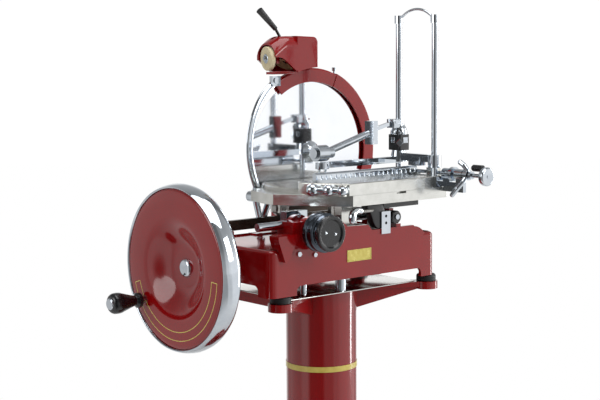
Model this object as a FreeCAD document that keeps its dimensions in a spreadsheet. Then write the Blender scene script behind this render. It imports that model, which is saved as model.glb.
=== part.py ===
import FreeCAD, Part
import math
import os
import Sketcher
from FreeCAD import Placement, Rotation
from FreeCAD import Vector as V

# Hand cranked flywheel meat slicer on a pedestal, millimetres.
# +X to the meat table side, +Y away from the operator, +Z up.
# The floor under the column axis is the origin.
doc = FreeCAD.newDocument("meat_slicer")
sheet = doc.addObject("Spreadsheet::Sheet", "dims")


class Dim:
    """A number together with the sheet expression that gives it."""

    def __init__(self, value, text):
        self.value = value
        self.text = text

    def __float__(self):
        return float(self.value)

    def __neg__(self):
        return Dim(-self.value, "(0 - %s)" % self.text)

    def __add__(self, other):
        return join(self, "+", other, self.value + float(other))

    def __radd__(self, other):
        return join(other, "+", self, float(other) + self.value)

    def __sub__(self, other):
        return join(self, "-", other, self.value - float(other))

    def __rsub__(self, other):
        return join(other, "-", self, float(other) - self.value)

    def __mul__(self, other):
        return join(self, "*", other, self.value * float(other))

    def __rmul__(self, other):
        return join(other, "*", self, float(other) * self.value)

    def __truediv__(self, other):
        return join(self, "/", other, self.value / float(other))


def text(x):
    if isinstance(x, Dim):
        return x.text
    return "(%.6f)" % float(x)


def join(a, sign, b, value):
    return Dim(value, "(%s %s %s)" % (text(a), sign, text(b)))


# Driving dimensions: name and value in millimetres, counts where named so.
SIZES = [
    ("column_r", 84.15), ("column_wall", 5), ("collar_z", 720),
    ("head_z", 780), ("foot_r", 230), ("foot_h", 22),
    ("flare_r", 97), ("flare_z", 110), ("band_z", 592), ("band_h", 13),
    ("pad_x", 125), ("pad_left", 113), ("pad_y", 228), ("pad_r", 28),
    ("pad_h", 18), ("web_t", 16), ("rubber_r", 23.5), ("rubber_h", 17),
    ("base_right", 150), ("base_left", 138), ("base_front", 276),
    ("base_rear", 235), ("wall", 8), ("deck_z", 898), ("deck_t", 10),
    ("sill_h", 21), ("side_h", 25), ("pillar_front", 75),
    ("pillar_rear", 49), ("shaft_x", 20), ("shaft_z", 866),
    ("apex_y", 96), ("main_r", 11), ("cross_r", 10), ("stem_r", 12),
    ("wheel_y", 440), ("face_r", 175.4), ("rim_over", 10.2),
    ("wheel_w", 44), ("plate_t", 8),
    ("bevel_m", 2.5), ("spur_m", 2.5), ("gear_w", 12),
    ("throw", 95), ("arm_z", 896), ("arm_t", 8),
    ("blade_x", 150), ("blade_z", 1085), ("blade_r", 185), ("blade_t", 4),
    ("hub_r", 45), ("post_in", 166), ("post_out", 190),
    ("idler_y", 106.25), ("idler_z", 998.1), ("case_wall", 4),
    ("ring_over", 24), ("ring_lap", 12.4), ("ring_w", 20),
    ("bar_x", 80), ("bar_t", 12), ("bar_z", 920), ("bar_h", 24),
    ("rod_x", 110), ("rod_z", 951), ("rod_r", 9), ("roller_r", 17.98),
    ("car_z", 984), ("car_h", 25), ("car_right", 171), ("car_left", 120),
    ("car_rear", 250), ("table_h", 28), ("table_rear", 235),
    ("table_left", 136), ("tower_r", 7.75), ("tower_z", 1415),
    ("tower_y", 225), ("tower_a", 34), ("tower_b", 155),
    ("screw_y", 243), ("screw_z", 1042), ("screw_r", 5),
    ("knob_y", 157), ("knob_z", 937), ("knob_r", 40),
    ("fit", 0.05), ("gap", 0.2),
]


class Sizes:
    pass


d = Sizes()
sheet.set("A1", "name")
sheet.set("B1", "value")
for row, (name, value) in enumerate(SIZES, start=2):
    sheet.set("A%d" % row, name)
    sheet.set("B%d" % row, repr(value))
    sheet.setAlias("B%d" % row, name)
    setattr(d, name, Dim(value, "dims." + name))
doc.recompute()

# Heights and radii that follow from the sizes above.
d.side_bottom = d.head_z + d.rubber_h + d.sill_h
d.side_top = d.deck_z + d.side_h
d.ring_out = d.blade_r + d.ring_over
d.ring_in = d.blade_r - d.ring_lap
d.wheel_r = d.face_r + d.rim_over

count = 0
nodes = []


def add(kind, base):
    global count
    count += 1
    return doc.addObject(kind, "%s_%03d" % (base, count))


def bind(obj, prop, x):
    """Gives one property its value and, for a named size, its formula."""
    if "." not in prop:
        setattr(obj, prop, float(x))
    if isinstance(x, Dim):
        obj.setExpression(prop, x.text)


def place(obj, pos, rot=None):
    obj.Placement = Placement(V(*[float(c) for c in pos]),
                              rot or Rotation())
    for axis, c in zip("xyz", pos):
        bind(obj, ".Placement.Base." + axis, c)
    return obj


TURN = {"X": Rotation(V(0, 1, 0), 90), "Y": Rotation(V(1, 0, 0), -90),
        "Z": Rotation()}


def box(x, y, z):
    """Block between pairs of limits."""
    obj = add("Part::Box", "block")
    bind(obj, "Length", x[1] - x[0])
    bind(obj, "Width", y[1] - y[0])
    bind(obj, "Height", z[1] - z[0])
    return place(obj, (x[0], y[0], z[0]))


def along(axis, a, pos):
    """Point at a along the axis and pos in the two other directions."""
    if axis == "X":
        return (a, pos[0], pos[1])
    if axis == "Y":
        return (pos[0], a, pos[1])
    return (pos[0], pos[1], a)


def cyl(axis, r, span, pos):
    """Round bar along an axis, span from low to high."""
    obj = add("Part::Cylinder", "round")
    bind(obj, "Radius", r)
    bind(obj, "Height", span[1] - span[0])
    return place(obj, along(axis, span[0], pos), TURN[axis])


def cone(axis, r1, r2, span, pos):
    obj = add("Part::Cone", "taper")
    bind(obj, "Radius1", r1)
    bind(obj, "Radius2", r2)
    bind(obj, "Height", span[1] - span[0])
    return place(obj, along(axis, span[0], pos), TURN[axis])


def ball(r, pos):
    obj = add("Part::Sphere", "ball")
    bind(obj, "Radius", r)
    return place(obj, pos)


def toward(p, q):
    """Turn that carries +Z onto the line from p to q."""
    return Rotation(V(0, 0, 1), V(*q) - V(*p))


def bar(r, p, q, r2=None):
    """Round bar between two points, tapered when r2 is given."""
    p = [float(c) for c in p]
    q = [float(c) for c in q]
    kind = "Part::Cylinder" if r2 is None else "Part::Cone"
    obj = add(kind, "strut")
    if r2 is None:
        bind(obj, "Radius", r)
    else:
        bind(obj, "Radius1", r)
        bind(obj, "Radius2", r2)
    obj.Height = (V(*q) - V(*p)).Length
    obj.Placement = Placement(V(*p), toward(p, q))
    return obj


def fuse(*parts):
    if len(parts) == 1:
        return parts[0]
    obj = add("Part::MultiFuse", "joined")
    obj.Shapes = list(parts)
    obj.Refine = True
    return obj


def cut(base, *tools):
    obj = add("Part::Cut", "trimmed")
    obj.Base = base
    obj.Tool = fuse(*tools)
    obj.Refine = True
    return obj


def group(*parts):
    """Separate solids that share one name."""
    obj = add("Part::Compound", "set")
    obj.Links = list(parts)
    return obj


PLANES = {"X": Rotation(V(1, 1, 1), 120), "Y": Rotation(V(1, 0, 0), 90),
          "Z": Rotation()}


def sketch(points):
    """Closed outline; a third item in a point is the radius of the arc
    that arrives there, positive bulging to the right of travel."""
    sk = add("Sketcher::SketchObject", "outline")
    n = len(points)
    num = [(float(p[0]), float(p[1])) for p in points]
    kinds = []
    for i in range(n):
        a = num[i - 1]
        b = num[i]
        arc = float(points[i][2]) if len(points[i]) > 2 else 0
        if arc:
            mid = arc_middle(a, b, arc)
            curve = Part.Arc(V(*a, 0), V(*mid, 0), V(*b, 0))
            sk.addGeometry(curve, False)
            kinds.append((1, 2) if arc > 0 else (2, 1))
        else:
            sk.addGeometry(Part.LineSegment(V(*a, 0), V(*b, 0)), False)
            kinds.append((1, 2))
    rules = []
    for i in range(n):
        j = (i + 1) % n
        rules.append(Sketcher.Constraint(
            "Coincident", i, kinds[i][1], j, kinds[j][0]))
    sk.addConstraint(rules)
    for i in range(n):
        for axis, c in (("DistanceX", points[i][0]),
                        ("DistanceY", points[i][1])):
            k = sk.addConstraint(Sketcher.Constraint(
                axis, -1, 1, i, kinds[i][1], float(c)))
            if isinstance(c, Dim):
                sk.setExpression("Constraints[%d]" % k, c.text)
        if len(points[i]) > 2:
            sk.addConstraint(Sketcher.Constraint(
                "Radius", i, abs(float(points[i][2]))))
    return sk


def arc_middle(a, b, r):
    """Middle of the short arc from a to b, counter-clockwise for r > 0."""
    mx = (a[0] + b[0]) / 2
    my = (a[1] + b[1]) / 2
    dx = b[0] - a[0]
    dy = b[1] - a[1]
    length = math.hypot(dx, dy)
    rise = abs(r) - math.sqrt(max(r * r - length * length / 4, 0))
    side = 1 if r > 0 else -1
    return (mx + side * dy / length * rise,
            my - side * dx / length * rise)


def pad(axis, points, span):
    """Outline pushed along an axis between two limits.
    Outline pairs are (Y, Z) for X, (X, Z) for Y and (X, Y) for Z."""
    sk = sketch(points)
    low = span[1] if axis == "Y" else span[0]
    pos = {"X": (low, 0, 0), "Y": (0, low, 0), "Z": (0, 0, low)}[axis]
    place(sk, pos, PLANES[axis])
    obj = add("Part::Extrusion", "slab")
    obj.Base = sk
    obj.DirMode = "Normal"
    bind(obj, "LengthFwd", span[1] - span[0])
    obj.Solid = True
    return obj


SPIN = {"X": Rotation(V(0, 0, 1), -90), "Y": Rotation(),
        "Z": Rotation(V(1, 0, 0), 90)}
AXES = {"X": V(1, 0, 0), "Y": V(0, 1, 0), "Z": V(0, 0, 1)}


def turn(axis, points, pos):
    """Outline of (radius, height along the axis) turned full circle."""
    sk = sketch(points)
    at = along(axis, 0, pos)
    place(sk, at, SPIN[axis])
    obj = add("Part::Revolution", "turned")
    obj.Source = sk
    obj.Axis = AXES[axis]
    obj.Base = V(*[float(c) for c in at])
    for name, c in zip("xyz", at):
        bind(obj, ".Base." + name, c)
    obj.Angle = 360
    obj.Solid = True
    return obj


def turn_between(points, p, q):
    """Outline of (radius, distance from p) turned about the line p to q."""
    p = V(*num(*p))
    q = V(*num(*q))
    sk = sketch(points)
    sk.Placement = Placement(p, toward(p, q).multiply(SPIN["Z"]))
    obj = add("Part::Revolution", "turned")
    obj.Source = sk
    obj.Axis = (q - p).normalize()
    obj.Base = p
    obj.Angle = 360
    obj.Solid = True
    return obj


def round_off(base, r, pick):
    """Rounds the edges of base that pick accepts."""
    doc.recompute()
    edges = [i + 1 for i, e in enumerate(base.Shape.Edges) if pick(e)]
    obj = add("Part::Fillet", "rounded")
    obj.Base = base
    obj.Edges = [(i, float(r), float(r)) for i in edges]
    return obj


def upright(e):
    if len(e.Vertexes) != 2:
        return False
    a = e.Vertexes[0].Point
    b = e.Vertexes[1].Point
    return abs(a.x - b.x) < 0.01 and abs(a.y - b.y) < 0.01


def ends_along(axis):
    def pick(e):
        if len(e.Vertexes) != 2:
            return False
        v = e.Vertexes[0].Point - e.Vertexes[1].Point
        flat = {"X": abs(v.y) + abs(v.z), "Y": abs(v.x) + abs(v.z)}
        return flat[axis] < 0.01
    return pick


def raw(shape):
    obj = add("Part::Feature", "shaped")
    obj.Shape = shape
    return obj


def node(name, obj):
    obj.Label = name
    nodes.append((name, obj))
    return obj


def num(*items):
    return [float(c) for c in items]


# ---------------------------------------------------------------- stand
foot = turn("Z", [(d.column_r, 0), (d.foot_r, 0), (d.foot_r, d.foot_h - 6),
                  (d.foot_r - 6, d.foot_h, 6),
                  (d.flare_r + 62, d.foot_h + 1),
                  (d.flare_r, d.flare_z - 24, -84),
                  (d.flare_r, d.flare_z - 4),
                  (d.flare_r - 4, d.flare_z, 4), (d.column_r, d.flare_z)],
            (0, 0))
sole = cyl("Z", d.column_r + 4, (0, 10), (0, 0))
node("pedestal_foot", fuse(foot, sole))

tube_in = d.column_r - d.column_wall
node("column", cut(cyl("Z", d.column_r, (10, d.collar_z), (0, 0)),
                   cyl("Z", tube_in, (5, d.collar_z + 5), (0, 0))))
node("column_ring", cut(
    cyl("Z", d.column_r + 1.2, (d.band_z - d.band_h / 2,
                                d.band_z + d.band_h / 2), (0, 0)),
    cyl("Z", d.column_r, (d.band_z - 20, d.band_z + 20), (0, 0))))

collar_r = d.column_r + 0.6
hub = turn("Z", [(0, d.head_z - 12), (tube_in - 6, d.head_z - 12),
                 (tube_in - 6, d.collar_z - 50),
                 (tube_in, d.collar_z - 50), (tube_in, d.collar_z),
                 (collar_r, d.collar_z), (collar_r, d.head_z - 4),
                 (collar_r - 4, d.head_z, 4), (0, d.head_z)], (0, 0))
arms = []
for sx, sy in ((1, 1), (1, -1), (-1, 1), (-1, -1)):
    px = float(d.pad_x) if sx > 0 else -float(d.pad_left)
    py = sy * float(d.pad_y)
    length = math.hypot(px, py)
    turn_by = Rotation(V(0, 0, 1), math.degrees(math.atan2(py, px)))
    web = add("Part::Wedge", "web")
    web.Xmin = 0
    web.X2min = 0
    web.Ymin = float(tube_in) - 4
    web.Ymax = length - float(d.pad_r) + 6
    web.Zmin = float(d.collar_z)
    web.Zmax = float(d.head_z) - 2
    web.Z2min = float(d.head_z - d.pad_h)
    web.Z2max = float(d.head_z) - 2
    bind(web, "Xmax", d.web_t)
    bind(web, "X2max", d.web_t)
    web.Placement = Placement(turn_by.multVec(V(0, float(d.web_t) / 2, 0)),
                              turn_by.multiply(Rotation(V(0, 0, 1), -90)))
    top = add("Part::Box", "flange")
    bind(top, "Height", 12)
    bind(top, "Width", d.pad_r + 8)
    top.Length = length - float(tube_in) - 4
    top.Placement = Placement(
        turn_by.multVec(V(float(tube_in), -(float(d.pad_r) + 8) / 2,
                          float(d.head_z) - 12)), turn_by)
    x_dim = d.pad_x if sx > 0 else -d.pad_left
    y_dim = d.pad_y if sy > 0 else -d.pad_y
    end = cyl("Z", d.pad_r, (d.head_z - d.pad_h, d.head_z), (x_dim, y_dim))
    arms += [web, top, end]
hub_all = fuse(hub, *arms)
inside = cyl("Z", tube_in - 6, (d.collar_z - 60, d.head_z - 12), (0, 0))
node("stand_head", cut(hub_all, inside))

feet = []
for sx, sy in ((1, 1), (1, -1), (-1, 1), (-1, -1)):
    x_dim = d.pad_x if sx > 0 else -d.pad_left
    y_dim = d.pad_y if sy > 0 else -d.pad_y
    feet.append(turn("Z", [
        (0, d.head_z), (d.rubber_r, d.head_z),
        (d.rubber_r, d.head_z + d.rubber_h - 4),
        (d.rubber_r - 3, d.head_z + d.rubber_h),
        (0, d.head_z + d.rubber_h)], (x_dim, y_dim)))
node("rubber_feet", group(*feet))

studs_at = [(104, -31, 12.5), (87, -129, 8), (-84, -31, 12.5),
            (-67, -129, 8)]
tray_z = d.head_z + 1
tray = cut(box((-d.pad_left, d.pad_x), (-200, 190), (tray_z, tray_z + 9)),
           box((2 - d.pad_left, d.pad_x - 2), (-198, 188),
               (tray_z + 2, tray_z + 20)))
node("drip_tray", cut(tray, *[cyl("Z", r - 2.95, (tray_z - 5, tray_z + 5),
                                  (x, y)) for x, y, r in studs_at]))
studs = []
for x, y, r in studs_at:
    sleeve = cyl("Z", r, (tray_z + 2, d.side_bottom), (x, y))
    shank = cyl("Z", r - 3, (d.head_z, d.side_bottom + 10), (x, y))
    studs.append(fuse(sleeve, shank))
node("hold_down_studs", group(*studs))

# ------------------------------------------------------------ base frame
foot_z = d.head_z + d.rubber_h
left = -d.base_left
right = d.base_right
front = -d.base_front
body = box((left, right), (front, d.base_rear), (foot_z, d.deck_z + 4))
body = round_off(body, 20, upright)
body = round_off(body, 10, lambda e: e.BoundBox.ZMin >
                 float(d.deck_z) + 3.9)
cavity = round_off(box((left + d.wall, right - d.wall),
                       (front + d.wall, d.base_rear - d.wall),
                       (foot_z - 10, d.deck_z - d.deck_t)), 13, upright)
recess = round_off(box((left + d.wall, right - d.wall),
                       (front + d.wall, d.base_rear - d.wall),
                       (d.deck_z, d.deck_z + 30)), 13, upright)
sill = box((left - 20, right + 20),
           (front + d.pillar_front, d.base_rear - d.pillar_rear),
           (foot_z - 20, d.side_bottom))
sill = round_off(sill, 12, lambda e: ends_along("X")(e) and
                 e.BoundBox.ZMin > float(d.side_bottom) - 1)
toe = box((left + 44, right - 44), (front - 20, d.base_rear + 20),
          (foot_z - 20, d.side_bottom + 3))
toe = round_off(toe, 14, lambda e: ends_along("Y")(e) and
                e.BoundBox.ZMin > float(d.side_bottom))
opening = cyl("Z", d.throw + 17, (d.deck_z - 30, d.deck_z + 40),
              (d.shaft_x, d.apex_y))
side = pad("X", [(-212, d.deck_z - 6), (190, d.deck_z - 6),
                 (197, d.deck_z + 3), (163, d.side_top - 3, 46),
                 (157, d.side_top, 6), (26, d.side_top),
                 (14, d.side_top + 13), (-50, d.side_top + 15),
                 (-76, d.side_top + 36), (-212, d.side_top + 37)],
           (right - d.wall, right))
boss_front = box((d.rod_x - 14, right - 2), (-212, -140),
                 (d.deck_z - 4, d.side_top + 37))
boss_front = round_off(boss_front, 5, lambda e: ends_along("Y")(e) and
                       e.BoundBox.ZMin > float(d.side_top) + 30)
boss_rear = fuse(box((d.rod_x - 13, d.rod_x + 13), (106, 120),
                     (d.side_top - 3, d.rod_z + 13)),
                 box((d.rod_x - 13, right - 2), (106, 120),
                     (d.side_top - 3, d.side_top + 7)))
knob_boss = cyl("X", 33, (right - 12, right + 2), (-d.knob_y, d.knob_z))
rib = pad("X", [(-262, 934), (-262, 926), (-244, 877), (-236, 877, 5),
                (-206, 924), (-206, 934)], (right - 20, right + 12))
stops = []
for y in (-222, 218):
    stops.append(box((-d.bar_x - 12, -d.bar_x + 12), (y, y + 15),
                     (d.deck_z - 2, d.bar_z)))
stem_low = d.side_bottom - 14
boss_main = cyl("Y", 25, (front - 8, front + 30), (d.shaft_x, d.shaft_z))
web_main = box((left + 4, right - 4), (-44, -32),
               (d.side_bottom + 12, d.deck_z - 4))
boss_mid = cyl("Y", 24, (-52, -18), (d.shaft_x, d.shaft_z))
boss_cross = cyl("X", 22, (left, -62), (d.apex_y, d.shaft_z))
bridge = fuse(box((left + 4, right - 4), (d.apex_y - 16, d.apex_y + 16),
                  (d.side_bottom + 1, d.shaft_z - 38.6)),
              box((left + 60, right - 60), (d.apex_y - 16, d.apex_y + 16),
                  (stem_low, d.side_bottom + 3)))
stem_boss = cyl("Z", 24, (stem_low, d.shaft_z - 38.6),
                (d.shaft_x, d.apex_y))
ties = []
for y, w in ((-31, 17), (-129, 13)):
    ties.append(box((left + 4, right - 4), (y - w, y + w),
                    (d.side_bottom, d.side_bottom + 12)))
legs_seat = box((left, left + 30), (-110, -44), (d.deck_z - 4, d.deck_z + 3.4))
casting = cut(body, cavity, recess, sill, toe, opening)
casting = fuse(casting, side, boss_front, boss_rear)
casting = fuse(casting, knob_boss, rib, legs_seat, *stops)
solid = fuse(casting, boss_main, web_main, boss_mid, boss_cross, bridge,
             stem_boss, *ties)
bores = [
    cyl("Y", 15, (front - 20, -10), (d.shaft_x, d.shaft_z)),
    cyl("X", 14, (left - 20, -50), (d.apex_y, d.shaft_z)),
    cyl("Z", 16, (stem_low - 5, d.shaft_z - 30), (d.shaft_x, d.apex_y)),
    cyl("Y", d.rod_r, (-230, 130), (d.rod_x, d.rod_z)),
    cyl("X", 7 + d.fit, (right - 34, right + 10), (-d.knob_y, d.knob_z)),
]
for x, y, r in studs_at:
    bores.append(cyl("Z", r - 3, (d.side_bottom - 5, d.side_bottom + 10),
                     (x, y)))
base = node("base_frame", cut(solid, *bores))

node("blank_plate", box((right, right + 1.2), (-52, 22.5), (856, 883)))
node("guide_rod", cyl("Y", d.rod_r, (-280, 120), (d.rod_x, d.rod_z)))
node("guide_bar", box((-d.bar_x - d.bar_t / 2, -d.bar_x + d.bar_t / 2),
                      (-235, 240), (d.bar_z, d.bar_z + d.bar_h)))
rod_cap = cut(box((d.rod_x - 10, d.rod_x + 12), (-206, -146),
                  (d.side_top + 37, d.car_z - 3)),
              cyl("X", 5, (d.rod_x - 30, d.rod_x + 30), (-170, 971)))
bush = [
    cut(cyl("Y", 15, (front - 8, front + 20), (d.shaft_x, d.shaft_z)),
        cyl("Y", d.main_r + d.fit, (front - 20, front + 30),
            (d.shaft_x, d.shaft_z))),
    cut(cyl("Y", 15, (-52, -18), (d.shaft_x, d.shaft_z)),
        cyl("Y", d.main_r + d.fit, (-60, -10), (d.shaft_x, d.shaft_z))),
    cut(cyl("X", 14, (-92, -62), (d.apex_y, d.shaft_z)),
        cyl("X", d.cross_r + d.fit, (-100, -50), (d.apex_y, d.shaft_z))),
    cut(cyl("X", 14, (-160, left + 10), (d.apex_y, d.shaft_z)),
        cyl("X", d.cross_r + d.fit, (-170, left + 20),
            (d.apex_y, d.shaft_z))),
    cut(cyl("Z", 16, (stem_low, d.shaft_z - 38.6),
            (d.shaft_x, d.apex_y)),
        cyl("Z", d.stem_r + d.fit, (stem_low - 5, d.shaft_z - 30),
            (d.shaft_x, d.apex_y))),
]
node("shaft_bushes", group(*bush))

# ------------------------------------------------- post and gear housing
hub_at = (d.apex_y, d.blade_z)
low_at = (d.apex_y, d.shaft_z)
mid_at = (d.idler_y, d.idler_z)


def shell(inset, span):
    """Outline that wraps the three gears, drawn in by inset."""
    return fuse(cyl("X", 80 - inset, span, low_at),
                cyl("X", 72 - inset, span, mid_at),
                cyl("X", 44 - inset, span, hub_at),
                box(span, (d.apex_y - 74 + inset, d.apex_y + 78 - inset),
                    (d.shaft_z, d.idler_z)),
                box(span, (d.apex_y - 42 + inset, d.apex_y + 46 - inset),
                    (d.idler_z, d.blade_z)))


ring_z = d.blade_z + d.ring_out
ring_y = d.apex_y + d.ring_out
post = fuse(shell(0, (-d.post_out, -d.post_in)),
            box((-d.post_in, left), (50, 142), (815, 888)),
            box((-d.post_in - 20, -d.post_in),
                (d.apex_y - 20, d.apex_y + 20), (d.blade_z, ring_z + 4)),
            box((-d.post_in, -d.blade_x - d.ring_w / 2),
                (d.apex_y - 20, d.apex_y + 20), (ring_z - 31, ring_z - 8)),
            box((-d.post_in - 14, -d.post_in), (d.apex_y, ring_y - 13),
                (d.blade_z - 25, d.blade_z - 1)),
            box((-d.post_in, -d.blade_x - d.ring_w / 2 - 2),
                (ring_y - 29, ring_y - 13), (d.blade_z - 25, d.blade_z - 1)),
            cyl("X", 9, (-205.6, -d.post_out), mid_at))
node("blade_post", cut(post,
                       cyl("X", 26, (-d.post_out - 5, -d.post_in + 5),
                           hub_at),
                       cyl("X", 14, (-d.post_out - 5, left + 5), low_at)))
node("gear_cover", cut(shell(0, (-d.post_out - 24, -d.post_out)),
                       shell(d.case_wall, (-d.post_out - 20,
                                           -d.post_out + 5))))
races = []
for a in (-d.post_out, -d.post_in - 11):
    races.append(cut(cyl("X", 26, (a, a + 11), hub_at),
                     cyl("X", 12 + d.fit, (a - 5, a + 16), hub_at)))
races.append(cut(cyl("X", 14, (-d.post_out, -d.post_in - 4), low_at),
                 cyl("X", d.cross_r + d.fit,
                     (-d.post_out - 5, -d.post_in + 5), low_at)))
node("post_bearings", group(*races))


def guard(span, a0, a1, r_out, t):
    """Channel ring around the blade between two angles from +Y."""
    x0, x1 = num(*span)
    y, z = num(*hub_at)
    r_in = float(d.ring_in)
    r_out = float(r_out)
    pts = [(x0, r_in), (x0, r_out - 4), (x0 + 4, r_out), (x1 - 4, r_out),
           (x1, r_out - 4), (x1, r_in), (x1 - t, r_in),
           (x1 - t, r_out - 5), (x0 + t, r_out - 5), (x0 + t, r_in),
           (x0, r_in)]
    wire = Part.makePolygon([V(p[0], y + p[1], z) for p in pts])
    face = Part.Face(wire)
    face.rotate(V(0, y, z), V(1, 0, 0), a0)
    return raw(face.revolve(V(0, y, z), V(1, 0, 0), a1 - a0))


half = float(d.ring_w) / 2
bx = float(d.blade_x)
node("ring_guard_rear", guard((-bx - half - 2, -bx + half + 2), -18, 66.5,
                              d.ring_out, 4))
node("ring_guard_front", guard((-bx - half, -bx + half), 66.5, 124,
                               d.ring_out - 2, 4))
screw_pos = (-d.blade_x, d.apex_y + 82)
screw_foot = hub_at[1] + math.sqrt(float(d.ring_out) ** 2 - 82 ** 2) - 5.2
node("chrome_fittings", group(
    rod_cap,
    fuse(cyl("Z", 3, (screw_foot, screw_foot + 12), screw_pos),
         cyl("Z", 6, (screw_foot + 11, screw_foot + 20), screw_pos)),
    cyl("X", 5.5, (right, right + 4), (-195, 889)),
    cyl("X", 5, (right, right + 4), (-149, 883))))

# ------------------------------------------------------ front guard bar
guard_x = 8 - bx
path = []
for angle, beyond in ((126, 24), (138, 24), (150, 20), (164, 15),
                      (180, 11), (193, 8), (204.5, 7)):
    reach = float(d.blade_r) + beyond
    path.append(V(guard_x,
                  float(d.apex_y) + reach * math.cos(math.radians(angle)),
                  float(d.blade_z) + reach * math.sin(math.radians(angle))))
curve = Part.BSplineCurve()
curve.interpolate(path)
heading = curve.tangent(curve.FirstParameter)[0]
across = heading.cross(V(1, 0, 0))
oval = Part.Ellipse(path[0] + across * 9.5, path[0] + V(4.5, 0, 0), path[0])
section = Part.Wire(oval.toShape())
guard_bar = raw(Part.Wire(curve.toShape()).makePipeShell([section], True,
                                                         False))
top_end = path[0]
low_end = path[-1]
clip = fuse(box((guard_x - 3, guard_x + 9),
                (top_end.y - 8, top_end.y + 17),
                (top_end.z - 4, top_end.z + 20)),
            cyl("X", 8, (guard_x + 8, guard_x + 12),
                (top_end.y + 4, top_end.z + 9)))
bracket = fuse(box((-143, -123), (low_end.y - 14, low_end.y + 36), (974, 1000)),
               cyl("X", 13, (-152, -121), (low_end.y - 14, 987)),
               cyl("X", 13, (-143, -121), (low_end.y + 36, 987)),
               box((-147, -137), (low_end.y - 10, low_end.y + 8), (990, 1008)),
               bar(8, (-132, low_end.y - 14, 984), (-122, -80, 907)),
               bar(8, (-132, low_end.y + 32, 984), (-122, -88, 907)))
node("front_guard", group(
    guard_bar, clip, bracket))

# --------------------------------------------------------- sharpener


def arch(inset, foot, crown, corner):
    """Hood section in X and Z, drawn in by inset."""
    low_x = -185 + inset
    high_x = -112 - inset
    return [(low_x, foot + 12), (low_x + 12, foot, 12), (high_x - 12, foot),
            (high_x, foot + 12, 12), (high_x, crown - corner),
            (high_x - corner, crown, corner), (low_x + corner, crown),
            (low_x, crown - corner, corner)]


def common(a, b):
    obj = add("Part::MultiCommon", "shared")
    obj.Shapes = [a, b]
    return obj


# Height of the blade's crest, which the sharpener stands over.
crest = d.blade_z + d.blade_r
hood = common(pad("Y", arch(0, crest + 8, crest + 100, 26), (-41, 32)),
              pad("X", [(-41, crest), (40, crest), (40, crest + 102), (2, crest + 102),
                        (-41, crest + 88, 130)], (-190, -100)))
block = pad("X", [(27, crest + 6), (93, crest + 20), (93, crest + 84), (79, crest + 98, 14),
                  (27, crest + 100)], (-185, -112))
block = round_off(block, 4, lambda e: e.BoundBox.XLength < 1 and
                  e.BoundBox.ZMin > float(crest) + 19 and e.BoundBox.XMin > -150)
hollow = common(pad("Y", arch(6, crest + 14, crest + 94, 20), (-60, 32)),
                pad("X", [(-60, crest), (40, crest), (40, crest + 96), (2, crest + 96),
                          (-60, crest + 77)], (-190, -100)))
mouth = pad("X", [(-60, crest + 14), (24, crest + 14), (21, crest + 18), (-22, crest + 50),
                  (-38, crest + 61), (-60, crest + 70)], (-124, -100))
stone_at = V(-146, -38, float(crest) + 46)
stone_dir = V(-0.2, -0.96, -0.06).normalize()
cup_at = V(-138, 6, float(crest) + 31)
cup_dir = V(0.1, -0.55, -0.83).normalize()
lever_pin = V(-150, 14, float(crest) + 82)
core = box((-179, -118), (38, 70), (crest - 10, crest + 92))
under = cyl("X", d.ring_out, (-190, -100), hub_at)
socket = box((-d.post_in - 20, -d.post_in), (d.apex_y - 20, d.apex_y + 20),
             (crest, crest + 28))
webbed = fuse(box((-162, -130), (-25, -16), (crest + 34, crest + 93)),
              box((-162, -156.2), (4, 24), (crest + 74, crest + 96)),
              box((-143.8, -138), (4, 24), (crest + 74, crest + 96)),
              bar(9, tuple(cup_at - cup_dir * 26),
                  tuple(cup_at - cup_dir * 44)))
shell_cut = cut(fuse(hood, block), hollow, mouth, core, under, socket)
slot = box((-156, -144), (-26, 30), (crest + 84, crest + 110))
holes = [bar(5 + d.fit, tuple(stone_at), tuple(stone_at - stone_dir * 50)),
         bar(4 + d.fit, tuple(cup_at), tuple(cup_at - cup_dir * 60)),
         bar(4.5 + d.fit, (-165, 14, crest + 82), (-135, 14, crest + 82)), slot]
node("sharpener_housing", cut(fuse(shell_cut, webbed), *holes))
stone = fuse(bar(29, tuple(stone_at - stone_dir * 6),
                 tuple(stone_at + stone_dir * 6)),
             bar(7, tuple(stone_at), tuple(stone_at + stone_dir * 12)),
             bar(5, tuple(stone_at), tuple(stone_at - stone_dir * 26)))
node("grinding_stone", stone)
cup = cut(bar(14, tuple(cup_at - cup_dir * 16), tuple(cup_at), 19),
          bar(8, tuple(cup_at - cup_dir * 9),
              tuple(cup_at + cup_dir * 0.1), 15))
node("cup_stone", fuse(cup, bar(4, tuple(cup_at - cup_dir * 10),
                                tuple(cup_at - cup_dir * 43))))
lever = fuse(bar(3.5, tuple(lever_pin), (-150, -11, crest + 117)),
             bar(4.5, (-161, 14, crest + 82), (-139, 14, crest + 82)))
node("sharpener_lever", group(
    lever, bar(6, (-150, -11, crest + 117), (-150, -60, crest + 161), 8.5)))

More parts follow.
